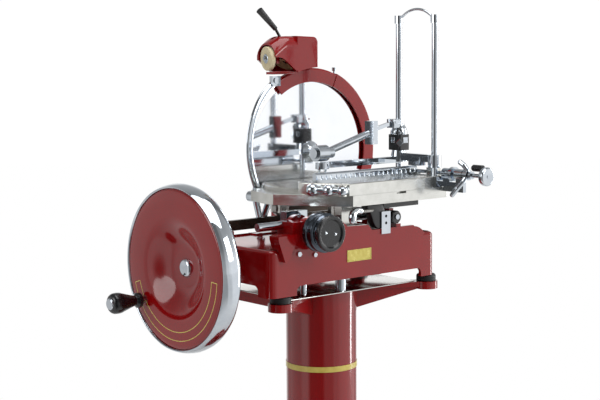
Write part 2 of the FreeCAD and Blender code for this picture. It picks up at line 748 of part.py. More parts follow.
# -------------------------------------------------------------- flywheel
fy = -d.wheel_y
hub_pos = (d.shaft_x, d.shaft_z)
rim_back = fy + d.wheel_w
rim = turn("Y", [(d.face_r, fy + 2), (d.face_r + 4, fy - 1, 4),
                 (d.wheel_r - 1, fy + 16, 40), (d.wheel_r, fy + 22),
                 (d.wheel_r - 1, rim_back - 14),
                 (d.wheel_r - 6, rim_back, 30), (d.face_r - 4, rim_back),
                 (d.face_r - 4, fy + 17), (d.face_r, fy + 17)], hub_pos)
node("flywheel_rim", rim)
disc = turn("Y", [(d.main_r, fy + 34), (62, fy + 34), (80, fy + 28, 32),
                  (98, fy + 9), (116, fy, -26), (d.face_r - 10.4, fy),
                  (d.face_r, fy + 3, 22), (d.face_r, fy + 17),
                  (d.face_r - 12.4, fy + d.plate_t + 4),
                  (118, fy + d.plate_t + 3),
                  (104, fy + 19), (88, fy + 39), (66, fy + 46),
                  (34, fy + 46), (28, fy + 84), (d.main_r, fy + 84)],
            hub_pos)
grip_x = d.shaft_x - 118.7
grip_z = d.shaft_z - 81.4
grip_pos = (grip_x, grip_z)
node("flywheel_disc", cut(disc, cyl("Y", 6, (fy - 5, fy + 30), grip_pos)))
node("main_shaft", fuse(
    cyl("Y", d.main_r, (fy + 26, d.apex_y - 38), hub_pos),
    turn("Y", [(0, fy + 25), (13, fy + 26, 90), (20, fy + 30, 9),
               (21, fy + 34), (0, fy + 34)], hub_pos)))
stud = fuse(cyl("Y", 6, (fy - 89, fy + 24), grip_pos),
            cyl("Y", 10, (fy - 9, fy), grip_pos),
            turn("Y", [(0, fy - 91), (10, fy - 91), (13, fy - 88.4, 3),
                       (13, fy - 87), (0, fy - 87)], grip_pos))
node("crank_stud", stud)
node("crank_grip", cut(
    turn("Y", [(6 + d.fit, fy - 86.8), (16, fy - 86.8),
               (23, fy - 76, 12), (22.5, fy - 62, 40), (15, fy - 38),
               (12, fy - 27), (13, fy - 22, -6), (17, fy - 18),
               (17, fy - 11), (15, fy - 9.2), (6 + d.fit, fy - 9.2)],
         grip_pos),
    cyl("Y", 6 + d.fit, (fy - 90, fy - 5), grip_pos)))


# ----------------------------------------------------------------- gears
PRESS = math.radians(20)


def flank(z, m, play):
    """Radii and half angles of one involute tooth, root to tip."""
    rp = m * z / 2
    rb = rp * math.cos(PRESS)
    rf = rp - 1.25 * m
    ra = rp + 0.94 * m
    base = math.pi / 2 / z - play / 2 / rp + math.tan(PRESS) - PRESS
    out = []
    for r in (rf, max(rb, rf + 0.1), (rb + rp) / 2 if rb > rf else rp,
              rp, (rp + ra) / 2, ra):
        a = math.acos(min(1, rb / max(r, rb)))
        out.append((r, base - math.tan(a) + a))
    return sorted(set(out))


def star(z, m, phase, play=0.16):
    """Points (radius, angle) of a whole toothed outline."""
    side = flank(z, m, play)
    pts = []
    for k in range(z):
        c = phase + 2 * math.pi * k / z
        pts += [(r, c - h) for r, h in side]
        pts += [(r, c + h) for r, h in reversed(side)]
    return pts


def spur(z, phase, x0, x1, pos):
    """Spur gear about the X direction; angles run from +Y to +Z."""
    y, z0 = num(*pos)
    a, b = num(x0, x1)
    pts = [V(a, y + r * math.cos(t), z0 + r * math.sin(t))
           for r, t in star(z, float(d.spur_m), phase)]
    wire = Part.makePolygon(pts + [pts[0]])
    return raw(Part.Face(wire).extrude(V(b - a, 0, 0)))


def bevel(z, mate, phase, n, e1, width):
    """Bevel gear with its cone tip at the meeting point of the axes."""
    m = float(d.bevel_m)
    rp = m * z / 2
    tilt = math.atan(z / mate)
    cd = math.cos(tilt)
    sd = math.sin(tilt)
    h0 = rp / math.tan(tilt)
    reach = rp / sd
    tip = V(*num(d.shaft_x, d.apex_y, d.shaft_z))
    e2 = n.cross(e1)
    ends = []
    for s in (1, (reach - width) / reach):
        ring = []
        for k in range(z):
            c = phase + 2 * math.pi * k / z
            side = flank(z / cd, m, 0.2)
            both = [(r, -h) for r, h in side]
            both += [(r, h) for r, h in reversed(side)]
            for r, h in both:
                f = s * h0 / (reach / cd - r * sd)
                t = c + h / cd
                ring.append(tip + n * (h0 * s) +
                            e1 * (r * cd * f * math.cos(t)) +
                            e2 * (r * cd * f * math.sin(t)))
        ends.append(ring)
    faces = [Part.Face(Part.makePolygon(ring + [ring[0]]))
             for ring in ends]
    for i in range(len(ends[0])):
        j = (i + 1) % len(ends[0])
        quad = [ends[0][i], ends[0][j], ends[1][j], ends[1][i],
                ends[0][i]]
        faces.append(Part.Face(Part.makePolygon(quad)))
    shell_of = Part.Shell(faces)
    solid_of = Part.Solid(shell_of)
    if solid_of.Volume < 0:
        solid_of.reverse()
    return raw(solid_of)


X = V(1, 0, 0)
Y = V(0, 1, 0)
Z = V(0, 0, 1)
TEETH = {"pinion_count": 20, "crown_count": 40, "low_count": 56,
         "mid_count": 50, "top_count": 20}
small_r = d.bevel_m * TEETH["pinion_count"] / 2
big_r = d.bevel_m * TEETH["crown_count"] / 2
half_step = math.pi / TEETH["pinion_count"]
face_w = 15
pin_a = bevel(TEETH["pinion_count"], TEETH["crown_count"], half_step, -Y, -Z, face_w)
ya = d.apex_y - big_r
node("main_bevel_gear", cut(
    fuse(pin_a, cyl("Y", 17, (ya - 16, ya + 2), hub_pos)),
    cyl("Y", d.main_r, (ya - 30, ya + 30), hub_pos)))
pin_c = bevel(TEETH["pinion_count"], TEETH["crown_count"], half_step, -X, -Z, face_w)
xc = d.shaft_x - big_r
node("cross_bevel_gear", cut(
    fuse(pin_c, cyl("X", 17, (xc - 14, xc + 2), low_at)),
    cyl("X", d.cross_r, (xc - 30, xc + 30), low_at)))
stem_at = (d.shaft_x, d.apex_y)
zb = d.shaft_z - small_r
wheel_b = bevel(TEETH["crown_count"], TEETH["pinion_count"], 0, -Z, -Y, face_w)
node("crank_wheel_gear", cut(
    fuse(wheel_b, cyl("Z", 42, (zb - 9, zb + 0.5), stem_at),
         cyl("Z", 20, (zb - 13.4, zb + 8), stem_at)),
    cyl("Z", d.stem_r, (zb - 30, zb + 30), stem_at)))
arm_top = d.arm_z + d.arm_t
node("crank_arm", fuse(
    cyl("Z", d.stem_r, (stem_low, arm_top + 1), stem_at),
    cyl("Z", 20, (d.arm_z, arm_top), stem_at),
    cyl("Z", 13, (d.arm_z, arm_top), (d.shaft_x + d.throw, d.apex_y)),
    box((d.shaft_x, d.shaft_x + d.throw), (d.apex_y - 12, d.apex_y + 12),
        (d.arm_z, arm_top)),
    cyl("Z", 8, (arm_top, d.bar_z - 10.6), (d.shaft_x + d.throw,
                                            d.apex_y))))

a1 = math.atan2(*num(d.idler_z - d.shaft_z, d.idler_y - d.apex_y))
a2 = math.atan2(*num(d.blade_z - d.idler_z, d.apex_y - d.idler_y))
mid_phase = a1 + math.pi + math.pi / TEETH["mid_count"]
offset = (mid_phase - a2) % (2 * math.pi / TEETH["mid_count"])
top_phase = (a2 + math.pi - offset * TEETH["mid_count"] / TEETH["top_count"] +
             math.pi / TEETH["top_count"])
gx0 = -d.post_out - 3 - d.gear_w
gx1 = -d.post_out - 3
low_gear = spur(TEETH["low_count"], a1, gx0, gx1, low_at)
node("cross_spur_gear", cut(fuse(low_gear,
                                 cyl("X", 22, (gx0 - 1, gx1 + 2.5), low_at)),
                            cyl("X", d.cross_r, (gx0 - 9, gx1 + 9),
                                low_at)))
node("cross_shaft", fuse(
    cyl("X", d.cross_r, (gx0, d.shaft_x - 38), low_at),
    cyl("X", 13, (gx0 - 4, gx0 - 1), low_at)))
mid_gear = spur(TEETH["mid_count"], mid_phase, gx0, gx1, mid_at)
node("idler_gear", cut(mid_gear, cyl("X", 9 + d.fit, (gx0 - 9, gx1 + 9),
                                     mid_at)))
top_gear = spur(TEETH["top_count"], top_phase, gx0, gx1, hub_at)
node("blade_shaft", fuse(
    top_gear, cyl("X", 12, (gx0, -d.blade_x + 2), hub_at),
    cyl("X", d.hub_r, (-d.blade_x - 12, -d.blade_x - 2), hub_at)))

# ----------------------------------------------------------------- blade
b0 = -d.blade_x - d.blade_t / 2
b1 = -d.blade_x + d.blade_t / 2
node("blade", cut(
    turn("X", [(12, b0), (d.blade_r - 16, b0), (d.blade_r, b1 - 0.4),
               (d.blade_r, b1), (12, b1)], hub_at),
    cyl("X", 2.5, (b0 - 5, b1 + 5), (92, d.blade_z + 81))))
node("blade_hub_cap", turn("X", [
    (0, -d.blade_x + 2), (26, -d.blade_x + 2), (26, -d.blade_x + 4),
    (19, -d.blade_x + 8), (12, -d.blade_x + 12), (0, -d.blade_x + 13)],
    hub_at))

# -------------------------------------------------------------- carriage
car_top = d.car_z + d.car_h
car_web = d.car_z + 17
plan = [(d.car_right, -52), (d.car_right, d.car_rear),
        (-d.car_left, d.car_rear), (-d.car_left, -100), (-88, -140),
        (-10, -158), (15, -157)]
hole = [(d.car_right - 12, -44), (d.car_right - 12, d.car_rear - 12),
        (12 - d.car_left, d.car_rear - 12), (12 - d.car_left, -94),
        (-82, -128), (-8, -145), (14, -144)]
nut_at = (d.screw_y, d.screw_z)
carriage = fuse(
    cut(pad("Z", plan, (d.car_z, car_top)),
        pad("Z", hole, (d.car_z - 5, car_web))),
    box((118, 148), (d.table_rear + 0.5, d.screw_y + 11),
        (car_top - 4, d.screw_z + 11)),
    box((-71.5, -63), (-74, -46), (952, car_web)),
    box((-97, -88.5), (-74, -46), (952, car_web)),
    box((-71.5, -63), (116, 144), (952, car_web)),
    box((-97, -88.5), (116, 144), (952, car_web)))
axle_z = d.bar_z + d.bar_h + 18
key = box((-80, d.car_right + 5), (84.8, 115.2), (car_top - 5, car_top + 5))
node("carriage_frame", cut(
    carriage, key,
    cyl("X", d.screw_r + d.fit, (100, 170), nut_at),
    cyl("X", 5 + d.fit, (-100, -60), (-60, axle_z)),
    cyl("X", 5 + d.fit, (-100, -60), (130, axle_z))))
for name, y in (("roller_front", -60), ("roller_rear", 130)):
    node(name, fuse(cyl("X", d.roller_r, (-88, -72), (y, axle_z)),
                    cyl("X", 5, (-98, -62), (y, axle_z))))
sleeve_span = (-43, 4)
node("rod_bearings", cut(
    box((d.rod_x - 12, d.rod_x + 12), sleeve_span, (d.rod_z - 13, car_web)),
    cyl("Y", d.rod_r + d.fit, (-60, 20), (d.rod_x, d.rod_z))))
reach = d.throw + 9
yoke = cut(box((d.shaft_x - reach - 8, d.shaft_x + reach + 4),
               (d.apex_y - 18, d.apex_y + 18), (d.bar_z - 10, d.bar_z - 2)),
           box((d.shaft_x - reach, d.shaft_x + reach),
               (d.apex_y - 8.2, d.apex_y + 8.2),
               (d.bar_z - 20, d.bar_z + 5)))
straps = [box((x, x + 12), (d.apex_y + s, d.apex_y + s + 8),
              (d.bar_z - 3, car_web)) for x in (-62, 78) for s in (-18, 10)]
node("crosshead_yoke", fuse(yoke, *straps))

# ----------------------------------------------------------------- table
tz = car_top + d.gap
t_top = car_top + d.table_h
slab_a = pad("Z", [(48, -98), (57, -116, 14), (84, -112), (d.car_right, -63),
                   (d.car_right, d.table_rear), (48, d.table_rear)],
             (tz, t_top))
slab_a = round_off(slab_a, 3, lambda e: e.BoundBox.ZMin >
                   float(t_top) - 0.1)
hinge_at = (166, -80)
grip_z0 = t_top - 15
ear_pts = [(166, -62), (149.7, -71), (158.1, -84.3), (173.9, -75.7, 9)]
ears = [pad("Z", ear_pts, (grip_z0 - 12.5, grip_z0 - 9.3)),
        pad("Z", ear_pts, (grip_z0 + 9.3, grip_z0 + 12.5)),
        cyl("Z", 3, (grip_z0 - 12, grip_z0 + 13.5), hinge_at)]
slab_b = pad("Z", [(-d.table_left, -70), (-60, -112), (60, -116),
                   (60, d.table_rear), (-d.table_left, d.table_rear)],
             (tz, t_top - 19))
ribs = [box((x, x + 4), (-66 - (x + 132) * 0.42, d.table_rear - 2),
            (t_top - 20, t_top - 17))
        for x in range(-132, -24, 9)]
ribs += [box((x, x + 4), (-112, d.table_rear - 2), (t_top - 20, t_top - 17))
         for x in range(-24, 48, 9)]
guide = box((-70, 160), (85, 115), (car_top - 4.8, tz + 5))
node("meat_table", cut(fuse(slab_a, slab_b, guide, *ears, *ribs), *[
    cyl("Z", d.tower_r, (car_top + 6, t_top + 30), (x, d.tower_y))
    for x in (d.tower_a, d.tower_b)]))
spikes = [box((92, 102), (-92, d.table_rear - 3), (t_top, t_top + 5))]
for i in range(21):
    spikes.append(cone("Z", 2.6, 0.4, (t_top + 4, t_top + 14),
                       (97, -84 + 15 * i)))
rail = pad("Y", [(78, t_top), (90, t_top), (90, t_top + 14),
                 (84, t_top + 20, 6), (78, t_top + 14, 6)],
           (-92, d.table_rear - 3))
node("spike_strip", group(fuse(*spikes), rail))
tower = []
cap_z = d.tower_z - 17
for x in (d.tower_a, d.tower_b):
    tower.append(fuse(cyl("Z", d.tower_r, (car_top + 6, d.tower_z),
                          (x, d.tower_y)),
                      cyl("Z", 11, (cap_z, d.tower_z + 2),
                          (x, d.tower_y))))
xa, xb, ty, tzz = num(d.tower_a, d.tower_b, d.tower_y, d.tower_z)
arc = Part.Arc(V(xa + 6, ty, tzz - 6), V((xa + xb) / 2, ty, tzz + 16),
               V(xb - 6, ty, tzz - 6))
hoop = Part.Wire(arc.toShape())
ring = Part.Wire(Part.makeCircle(3.2, arc.StartPoint,
                                 arc.tangent(arc.FirstParameter)[0]))
bow = raw(hoop.makePipeShell([ring], True, True))
node("tower", fuse(*(tower + [bow])))

grip = turn_between([
    (0, -5.5), (12, 6.5, 12), (6, 16.9, 12), (6, 18.2), (6, 30.2, 8.5),
    (6, 32.1), (6, 55.1, 13), (6, 57), (6, 69, 8.5), (6, 78), (0, 78)],
    (97, -122, grip_z0), (hinge_at[0], hinge_at[1], grip_z0))
eye = cyl("Z", 9, (grip_z0 - 9, grip_z0 + 9), hinge_at)
node("table_grip", cut(fuse(grip, eye), cyl(
    "Z", 3 + d.fit, (grip_z0 - 15, grip_z0 + 15), hinge_at)))

# ------------------------------------------------------------------ feed
cr = d.car_right
post_low = d.screw_z - 42
bracket = fuse(box((cr, cr + 10), (205, 254), (1012, 1036)),
               cyl("X", 13, (cr, cr + 21), nut_at),
               cyl("X", 13, (cr + 41, cr + 65), nut_at),
               box((cr, cr + 65), (238, 248), (post_low, d.screw_z - 19)),
               box((cr, cr + 21), (238, 248), (post_low, d.screw_z - 8)),
               box((cr + 41, cr + 65), (238, 248),
                   (post_low, d.screw_z - 8)))
node("screw_bracket", cut(bracket, cyl("X", d.screw_r + d.fit,
                                       (cr - 5, cr + 80), nut_at)))
knob_a = (d.screw_y, d.screw_z + 18)
node("feed_screw", fuse(
    cyl("X", 3, (263, 300), knob_a),
    cyl("X", 5, (260.5, 263.8), knob_a),
    cyl("X", d.screw_r, (18, 312), nut_at),
    cyl("X", 17, (cr + 25, cr + 35), nut_at),
    cyl("X", 9, (cr + 82, cr + 90), nut_at),
    turn("X", [(0, 296), (17, 296), (22, 301, 5), (22, 306),
               (17, 311, 5), (0, 311)], nut_at)))
node("feed_grip", cut(cyl("X", 8, (264, 294), knob_a),
                      cyl("X", 3 + d.fit, (260, 300), knob_a)))
sx, sy, sz = num(cr + 72, d.screw_y, d.screw_z)
bend = [(sx - 12, sy - 10, sz + 30), (sx - 3, sy - 8, sz + 24),
        (sx + 3, sy - 4, sz + 14), (sx + 2, sy, sz), (sx, sy - 14, sz - 16),
        (sx - 8, sy - 24, sz - 30), (sx - 20, sy - 28, sz - 46)]
lever_parts = [cyl("X", 12, (cr + 66, cr + 80), nut_at)]
for p, q in zip(bend, bend[1:]):
    lever_parts += [bar(6, p, q), ball(6, q)]
lever_parts.append(ball(6, bend[0]))
node("ratchet_lever", cut(
    fuse(*lever_parts),
    cyl("X", d.screw_r + d.fit, (cr + 40, cr + 90), nut_at)))

# ----------------------------------------------------------------- clamp
rods = [cyl("Z", d.tower_r + d.fit, (1000, 1300), (x, d.tower_y))
        for x in (d.tower_a, d.tower_b)]
node("clamp_body", cut(
    round_off(box((d.tower_a - 21, d.tower_a + 21), (208, 242),
                  (1092, 1130)), 5, upright), rods[0]))
xa = d.tower_a
cap = fuse(pad("Y", [(xa - 15, 1130), (xa + 15, 1130), (xa + 15, 1142),
                     (xa, 1157, 15), (xa - 15, 1142, 15)], (213, 241)),
           cyl("Z", 11.5, (1130, 1168), (xa, d.tower_y)),
           cyl("Y", 6, (207, 214), (xa, 1139)),
           box((21, 28.8), (196, 216), (1146, 1168)),
           box((39.2, 47), (196, 216), (1146, 1168)),
           cyl("X", 4, (21, 47), (205, 1160)))
node("clamp_cap", cut(cap, cyl("Z", d.tower_r + d.fit, (1100, 1200),
                               (d.tower_a, d.tower_y))))
link = fuse(cyl("X", 8, (29, 39), (205, 1160)),
            pad("X", [(203, 1155), (203, 1164), (140, 1149),
                      (140, 1140)], (29.5, 38.5)))
arm = fuse(box((25, 43), (120, 146), (1110, 1166)),
           bar(8.5, (34, 136, 1140), (34, -12, 1098)))
nose = fuse(cyl("Y", 19, (-46, -14), (34, 1097)),
            cyl("Y", 12.5, (-52, 6), (34, 1097)))
arm = fuse(link, arm, nose)
node("clamp_arm", cut(arm, cyl("X", 4 + d.fit, (20, 50), (205, 1160))))
press = fuse(
    cone("Z", 22, 17, (1064, 1091.8), (d.tower_a, d.tower_y)),
    cyl("Z", 16, (1056, 1086), (d.tower_b, d.tower_y)),
    box((24, 44), (-22, 220), (1062, 1077)),
    cyl("Z", 16, (1060, 1075), (34, -24)),
    box((d.tower_a, d.tower_b), (214, 236), (1068, 1086)),
    box((96, 132), (196, 218), (1060, 1080)))
prongs = [cone("Z", 1.2, 4, (1046, 1061), (34 + x, -24 + y))
          for x, y in ((-10, 0), (10, 0), (0, -10), (0, 10))]
node("presser_bar", cut(fuse(press, *prongs), *rods))

# ------------------------------------------------------------------ knob
knob_at = (-d.knob_y, d.knob_z)
k0 = right + 2.2
node("knob_body", turn("X", [
    (0, right - 26), (7, right - 26), (7, k0), (30, k0), (31, k0 + 14),
    (d.knob_r + 2, k0 + 15), (d.knob_r + 4, k0 + 18), (d.knob_r + 4, k0 + 26),
    (d.knob_r + 1, k0 + 28), (d.knob_r + 1, k0 + 33), (d.knob_r + 4, k0 + 35),
    (d.knob_r + 4, k0 + 44), (d.knob_r + 2, k0 + 46), (d.knob_r - 4, k0 + 48),
    (d.knob_r - 5, k0 + 56), (0, k0 + 56)], knob_at))
k1 = k0 + 56
node("knob_face", turn("X", [
    (0, k1), (d.knob_r - 1, k1), (d.knob_r, k1 + 3), (d.knob_r, k1 + 7),
    (d.knob_r - 3, k1 + 10, 3), (d.knob_r - 8, k1 + 9),
    (d.knob_r - 11, k1 + 5), (0, k1 + 5)], knob_at))

# ------------------------------------------------------------------ trip
pivot_at = (147, 968)
node("trip_bracket", fuse(
    box((128, right), (27, 76), (d.side_top, 981)),
    cyl("Y", 4.5, (-16, 29), pivot_at),
    box((128, 139), (70, 104), (940, 957)),
    cyl("X", 16, (139, 157), (99, 948))))
plate = cut(box((right, right + 3), (54, 82), (911, 963)),
            cyl("X", 3.5, (140, 160), (68, 952)),
            cyl("X", 3.5, (140, 160), (68, 936)))
node("trip_bar", group(
    plate, fuse(box((124, 136), (76, 190), (968, 979)),
                box((124, 128), (40, 78), (968, 979))),
    cyl("X", 6, (157, 160), (99, 948))))
node("trip_lever", cut(
    fuse(cyl("Y", 8.5, (-14, -1), pivot_at),
         bar(7, (150, -8, 968), (158, -34, 969)),
         ball(7.5, (158, -34, 969)),
         bar(7, (158, -34, 969), (160, -55, 951)),
         ball(9, (160, -56, 950))),
    cyl("Y", 4.5 + d.fit, (-30, 30), pivot_at)))

# ------------------------------------------------------------------ hand-in
doc.recompute()
for obj in doc.Objects:
    if "Invalid" in obj.State or "Error" in obj.State:
        raise ValueError("broken feature " + obj.Name)
os.makedirs("parts", exist_ok=True)
for name, obj in nodes:
    shape = obj.Shape
    if shape.isNull() or not shape.isValid():
        raise ValueError("bad shape " + name)
    shape.exportStep("parts/%s.step" % name)
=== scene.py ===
import math
import bmesh
import bpy
from mathutils import Matrix, Vector


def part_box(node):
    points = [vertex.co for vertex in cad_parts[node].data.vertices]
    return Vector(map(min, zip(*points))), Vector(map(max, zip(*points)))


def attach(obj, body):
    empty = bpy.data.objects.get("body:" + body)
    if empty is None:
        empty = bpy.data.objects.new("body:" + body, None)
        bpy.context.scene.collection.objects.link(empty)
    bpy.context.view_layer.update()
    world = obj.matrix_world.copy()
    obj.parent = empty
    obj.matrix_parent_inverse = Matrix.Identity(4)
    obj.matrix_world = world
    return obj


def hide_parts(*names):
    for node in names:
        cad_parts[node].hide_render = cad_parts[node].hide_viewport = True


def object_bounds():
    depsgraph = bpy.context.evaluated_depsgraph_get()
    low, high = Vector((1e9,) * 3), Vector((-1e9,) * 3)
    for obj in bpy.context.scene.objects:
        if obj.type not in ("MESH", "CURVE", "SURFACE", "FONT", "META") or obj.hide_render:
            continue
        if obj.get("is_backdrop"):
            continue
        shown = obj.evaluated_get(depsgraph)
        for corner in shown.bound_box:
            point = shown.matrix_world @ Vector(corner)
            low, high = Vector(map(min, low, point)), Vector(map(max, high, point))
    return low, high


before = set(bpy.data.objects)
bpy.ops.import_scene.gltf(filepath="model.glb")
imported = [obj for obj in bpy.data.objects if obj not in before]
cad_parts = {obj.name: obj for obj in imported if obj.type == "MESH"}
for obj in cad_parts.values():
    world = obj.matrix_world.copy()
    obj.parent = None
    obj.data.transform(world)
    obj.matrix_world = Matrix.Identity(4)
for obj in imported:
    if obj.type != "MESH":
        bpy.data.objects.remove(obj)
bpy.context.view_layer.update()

# ---- Column and pedestal foot -------------------------------------------
# A steel tube in a cast foot, both sprayed with deep red stove enamel that
# was flatted and polished: wet gloss over the casting's faint waves and an
# orange peel, the pigment a little deeper where it lies thick.
MM = 0.001
WELD = 0.002 * MM
COPLANAR = math.radians(0.5)


def linear(hexa):
    """An sRGB hex value as linear light."""
    out = []
    for i in (1, 3, 5):
        c = int(hexa[i:i + 2], 16) / 255
        out.append(c / 12.92 if c <= 0.04045 else ((c + 0.055) / 1.055) ** 2.4)
    return (*out, 1.0)


def wire(owner, node, inputs):
    """Gives a node's inputs their constants and links; another node stands
    for its first output."""
    for key, value in inputs.items():
        if isinstance(value, bpy.types.Node):
            value = value.outputs[0]
        if isinstance(value, bpy.types.NodeSocket):
            owner.node_tree.links.new(value, node.inputs[key])
        else:
            node.inputs[key].default_value = value


def put(owner, kind, inputs=None, stops=(), **settings):
    """Adds a node with its settings and inputs, and a ramp's stops as pairs
    of a place and a hex colour or grey level."""
    node = owner.node_tree.nodes.new(kind)
    for name, value in settings.items():
        setattr(node, name, value)
    wire(owner, node, inputs or {})
    if stops:
        ends = node.color_ramp.elements
        while len(ends) < len(stops):
            ends.new(0.5)
        for end, (at, tone) in zip(ends, stops):
            end.position = at
            grey = isinstance(tone, float)
            end.color = (tone, tone, tone, 1) if grey else linear(tone)
    return node


def start(name, **constants):
    """A material, its surface shader and the object coordinates."""
    mat = bpy.data.materials.new(name)
    mat.use_nodes = True
    shader = mat.node_tree.nodes["Principled BSDF"]
    wire(mat, shader, {key.replace("_", " "): value
                       for key, value in constants.items()})
    place = put(mat, "ShaderNodeTexCoord").outputs["Object"]
    return mat, shader, place


red, shader, place = start("red_stove_enamel", Specular_IOR_Level=0.5,
                           Coat_Weight=0.35, Coat_Roughness=0.03)
NOISES = ((160, 3), (45, 1), (3, 1), (12, 5))
broad, wave, peel, dust = (
    put(red, "ShaderNodeTexNoise", {
        "Vector": place, "Scale": 1 / (size * MM), "Detail": detail})
    for size, detail in NOISES)
relief = put(red, "ShaderNodeBump", {
    "Height": wave, "Distance": 0.5 * MM, "Strength": 0.25})
wire(red, shader, {
    "Base Color": put(red, "ShaderNodeValToRGB", {"Fac": broad},
                      [(0.3, "#83060A"), (0.7, "#900709")]),
    "Roughness": put(red, "ShaderNodeMapRange", {
        "Value": dust, "To Min": 0.09, "To Max": 0.16}),
    "Normal": put(red, "ShaderNodeBump", {
        "Height": peel, "Distance": 0.04 * MM, "Strength": 0.2,
        "Normal": relief})})


def finish_mesh(bm, name, angle=35):
    """Turns a bmesh into an object; edges over the angle stay crisp."""
    limit = math.radians(angle)
    for face in bm.faces:
        face.smooth = True
    for edge in bm.edges:
        sharp = len(edge.link_faces) != 2
        if not sharp:
            sharp = edge.calc_face_angle(0) > limit
        edge.smooth = not sharp
    mesh = bpy.data.meshes.new(name)
    bm.to_mesh(mesh)
    bm.free()
    piece = bpy.data.objects.new(name, mesh)
    bpy.context.scene.collection.objects.link(piece)
    return piece


def weld(node):
    """The faces of a CAD node as one skin, with its flat faces merged."""
    bm = bmesh.new()
    bm.from_mesh(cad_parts[node].data)
    bmesh.ops.remove_doubles(bm, verts=bm.verts, dist=WELD)
    bmesh.ops.dissolve_limit(bm, angle_limit=COPLANAR, verts=bm.verts,
                             edges=bm.edges)
    return bm


def seat(piece, mat, slot, body, *nodes):
    """Gives a piece its finish and body and hides the CAD nodes it replaces; the slot is
    not used.
    """
    piece.data.materials.clear()
    piece.data.materials.append(mat)
    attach(piece, body)
    if nodes:
        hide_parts(*nodes)


def ease(piece, width, angle=30):
    """Rounds the edges of a piece that are sharper than the angle."""
    edge = piece.modifiers.new("edges", "BEVEL")
    edge.width = width
    edge.segments = 3
    edge.limit_method = "ANGLE"
    edge.angle_limit = math.radians(angle)
    edge.harden_normals = True


def recast(mat, slot, body, *nodes, bevel=0.0):
    """Welded copies of CAD nodes, with their edges rounded if asked."""
    for node in nodes:
        piece = finish_mesh(weld(node), node + "_skin")
        seat(piece, mat, slot, body, node)
        if bevel:
            ease(piece, bevel)


recast(red, "red_enamel", "frame", "pedestal_foot", "column")

# ---- Gold line on the column --------------------------------------------
# A pale gold line that a brush has drawn round the column under its head,
# varnished over, so its streaks lie under a clear gloss.


def surface(name, colours, patch, grain, rough, relief, worn_by="patch",
            **constants):
    """A finish from two noises, each a size in millimetres and a detail.
    Patch tints it between two colours; grain raises it by relief, a depth
    in millimetres and a strength; one of them varies its roughness."""
    mat, shader, place = start(name, **constants)
    noises = {}
    for key, (size, detail) in (("patch", patch), ("grain", grain)):
        noises[key] = put(mat, "ShaderNodeTexNoise", {
            "Vector": place, "Scale": 1 / (size * MM), "Detail": detail})
    low, high = rough
    depth, strength = relief
    wire(mat, shader, {
        "Base Color": put(mat, "ShaderNodeValToRGB",
                          {"Fac": noises["patch"]},
                          [(0.3, colours[0]), (0.7, colours[1])]),
        "Roughness": put(mat, "ShaderNodeMapRange", {
            "Value": noises[worn_by], "To Min": low, "To Max": high}),
        "Normal": put(mat, "ShaderNodeBump", {
            "Height": noises["grain"], "Distance": depth * MM,
            "Strength": strength})})
    return mat


gold = surface("gold_line_paint", ("#C9B24A", "#D9C763"), (14, 4), (14, 4),
               (0.25, 0.4), (0.03, 0.4), Coat_Weight=0.4,
               Coat_Roughness=0.05)
recast(gold, "brass", "frame", "column_ring")

# ---- Stand head ----------------------------------------------------------
# A cast iron spider of four arms with round pads, enamelled like the column
# and bolted on its top; the machine stands on its pads.
recast(red, "red_enamel", "frame", "stand_head", bevel=2 * MM)

# ---- Rubber feet ---------------------------------------------------------
# Moulded black rubber rings between the casting and the pads; the grit of
# the mould leaves them dull.
rubber = surface("moulded_black_rubber", ("#0B0B0C", "#151517"), (20, 2),
                 (1.5, 3), (0.45, 0.65), (0.06, 0.5), "grain")
recast(rubber, "rubber", "frame", "rubber_feet", bevel=1.2 * MM)

# ---- Drip tray -----------------------------------------------------------
# A flat sheet of stainless steel with its edge rolled smooth, brushed one
# way and laid loose on the stand head under the dark of the machine.
stainless, shader, place = start("brushed_stainless_sheet", Metallic=1.0)
stretch = put(stainless, "ShaderNodeMapping", {
    "Vector": place, "Scale": (1, 0.04, 1)})
lines = put(stainless, "ShaderNodeTexNoise", {
    "Vector": stretch, "Scale": 1 / (1.2 * MM), "Detail": 4})
wire(stainless, shader, {
    "Base Color": put(stainless, "ShaderNodeValToRGB", {"Fac": lines},
                      [(0.2, "#D3D3CF"), (0.8, "#DEDEDA")]),
    "Roughness": put(stainless, "ShaderNodeMapRange", {
        "Value": lines, "To Min": 0.1, "To Max": 0.2}),
    "Normal": put(stainless, "ShaderNodeBump", {
        "Height": lines, "Distance": 0.01 * MM, "Strength": 0.25})})


def block(low, high):
    """The mesh of a block between two corners in metres."""
    bm = bmesh.new()
    bmesh.ops.create_cube(bm, size=1)
    bmesh.ops.scale(bm, verts=bm.verts, vec=high - low)
    bmesh.ops.translate(bm, verts=bm.verts, vec=(low + high) / 2)
    return bm


def round_off(bm, radius):
    """Rounds every edge of a mesh."""
    bmesh.ops.bevel(bm, geom=list(bm.edges), offset=radius, affect="EDGES",
                    segments=3, profile=0.5, material=-1)


def slab(name, low, high, radius):
    """A block between two corners in metres, its edges rounded."""
    bm = block(Vector(low), Vector(high))
    round_off(bm, radius)
    return finish_mesh(bm, name)


low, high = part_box("drip_tray")
TRAY_SHEET = 2.6 * MM
seat(slab("drip_tray_sheet", low, (high.x, high.y, low.z + TRAY_SHEET),
          1.1 * MM), stainless, "stainless", "frame", "drip_tray")

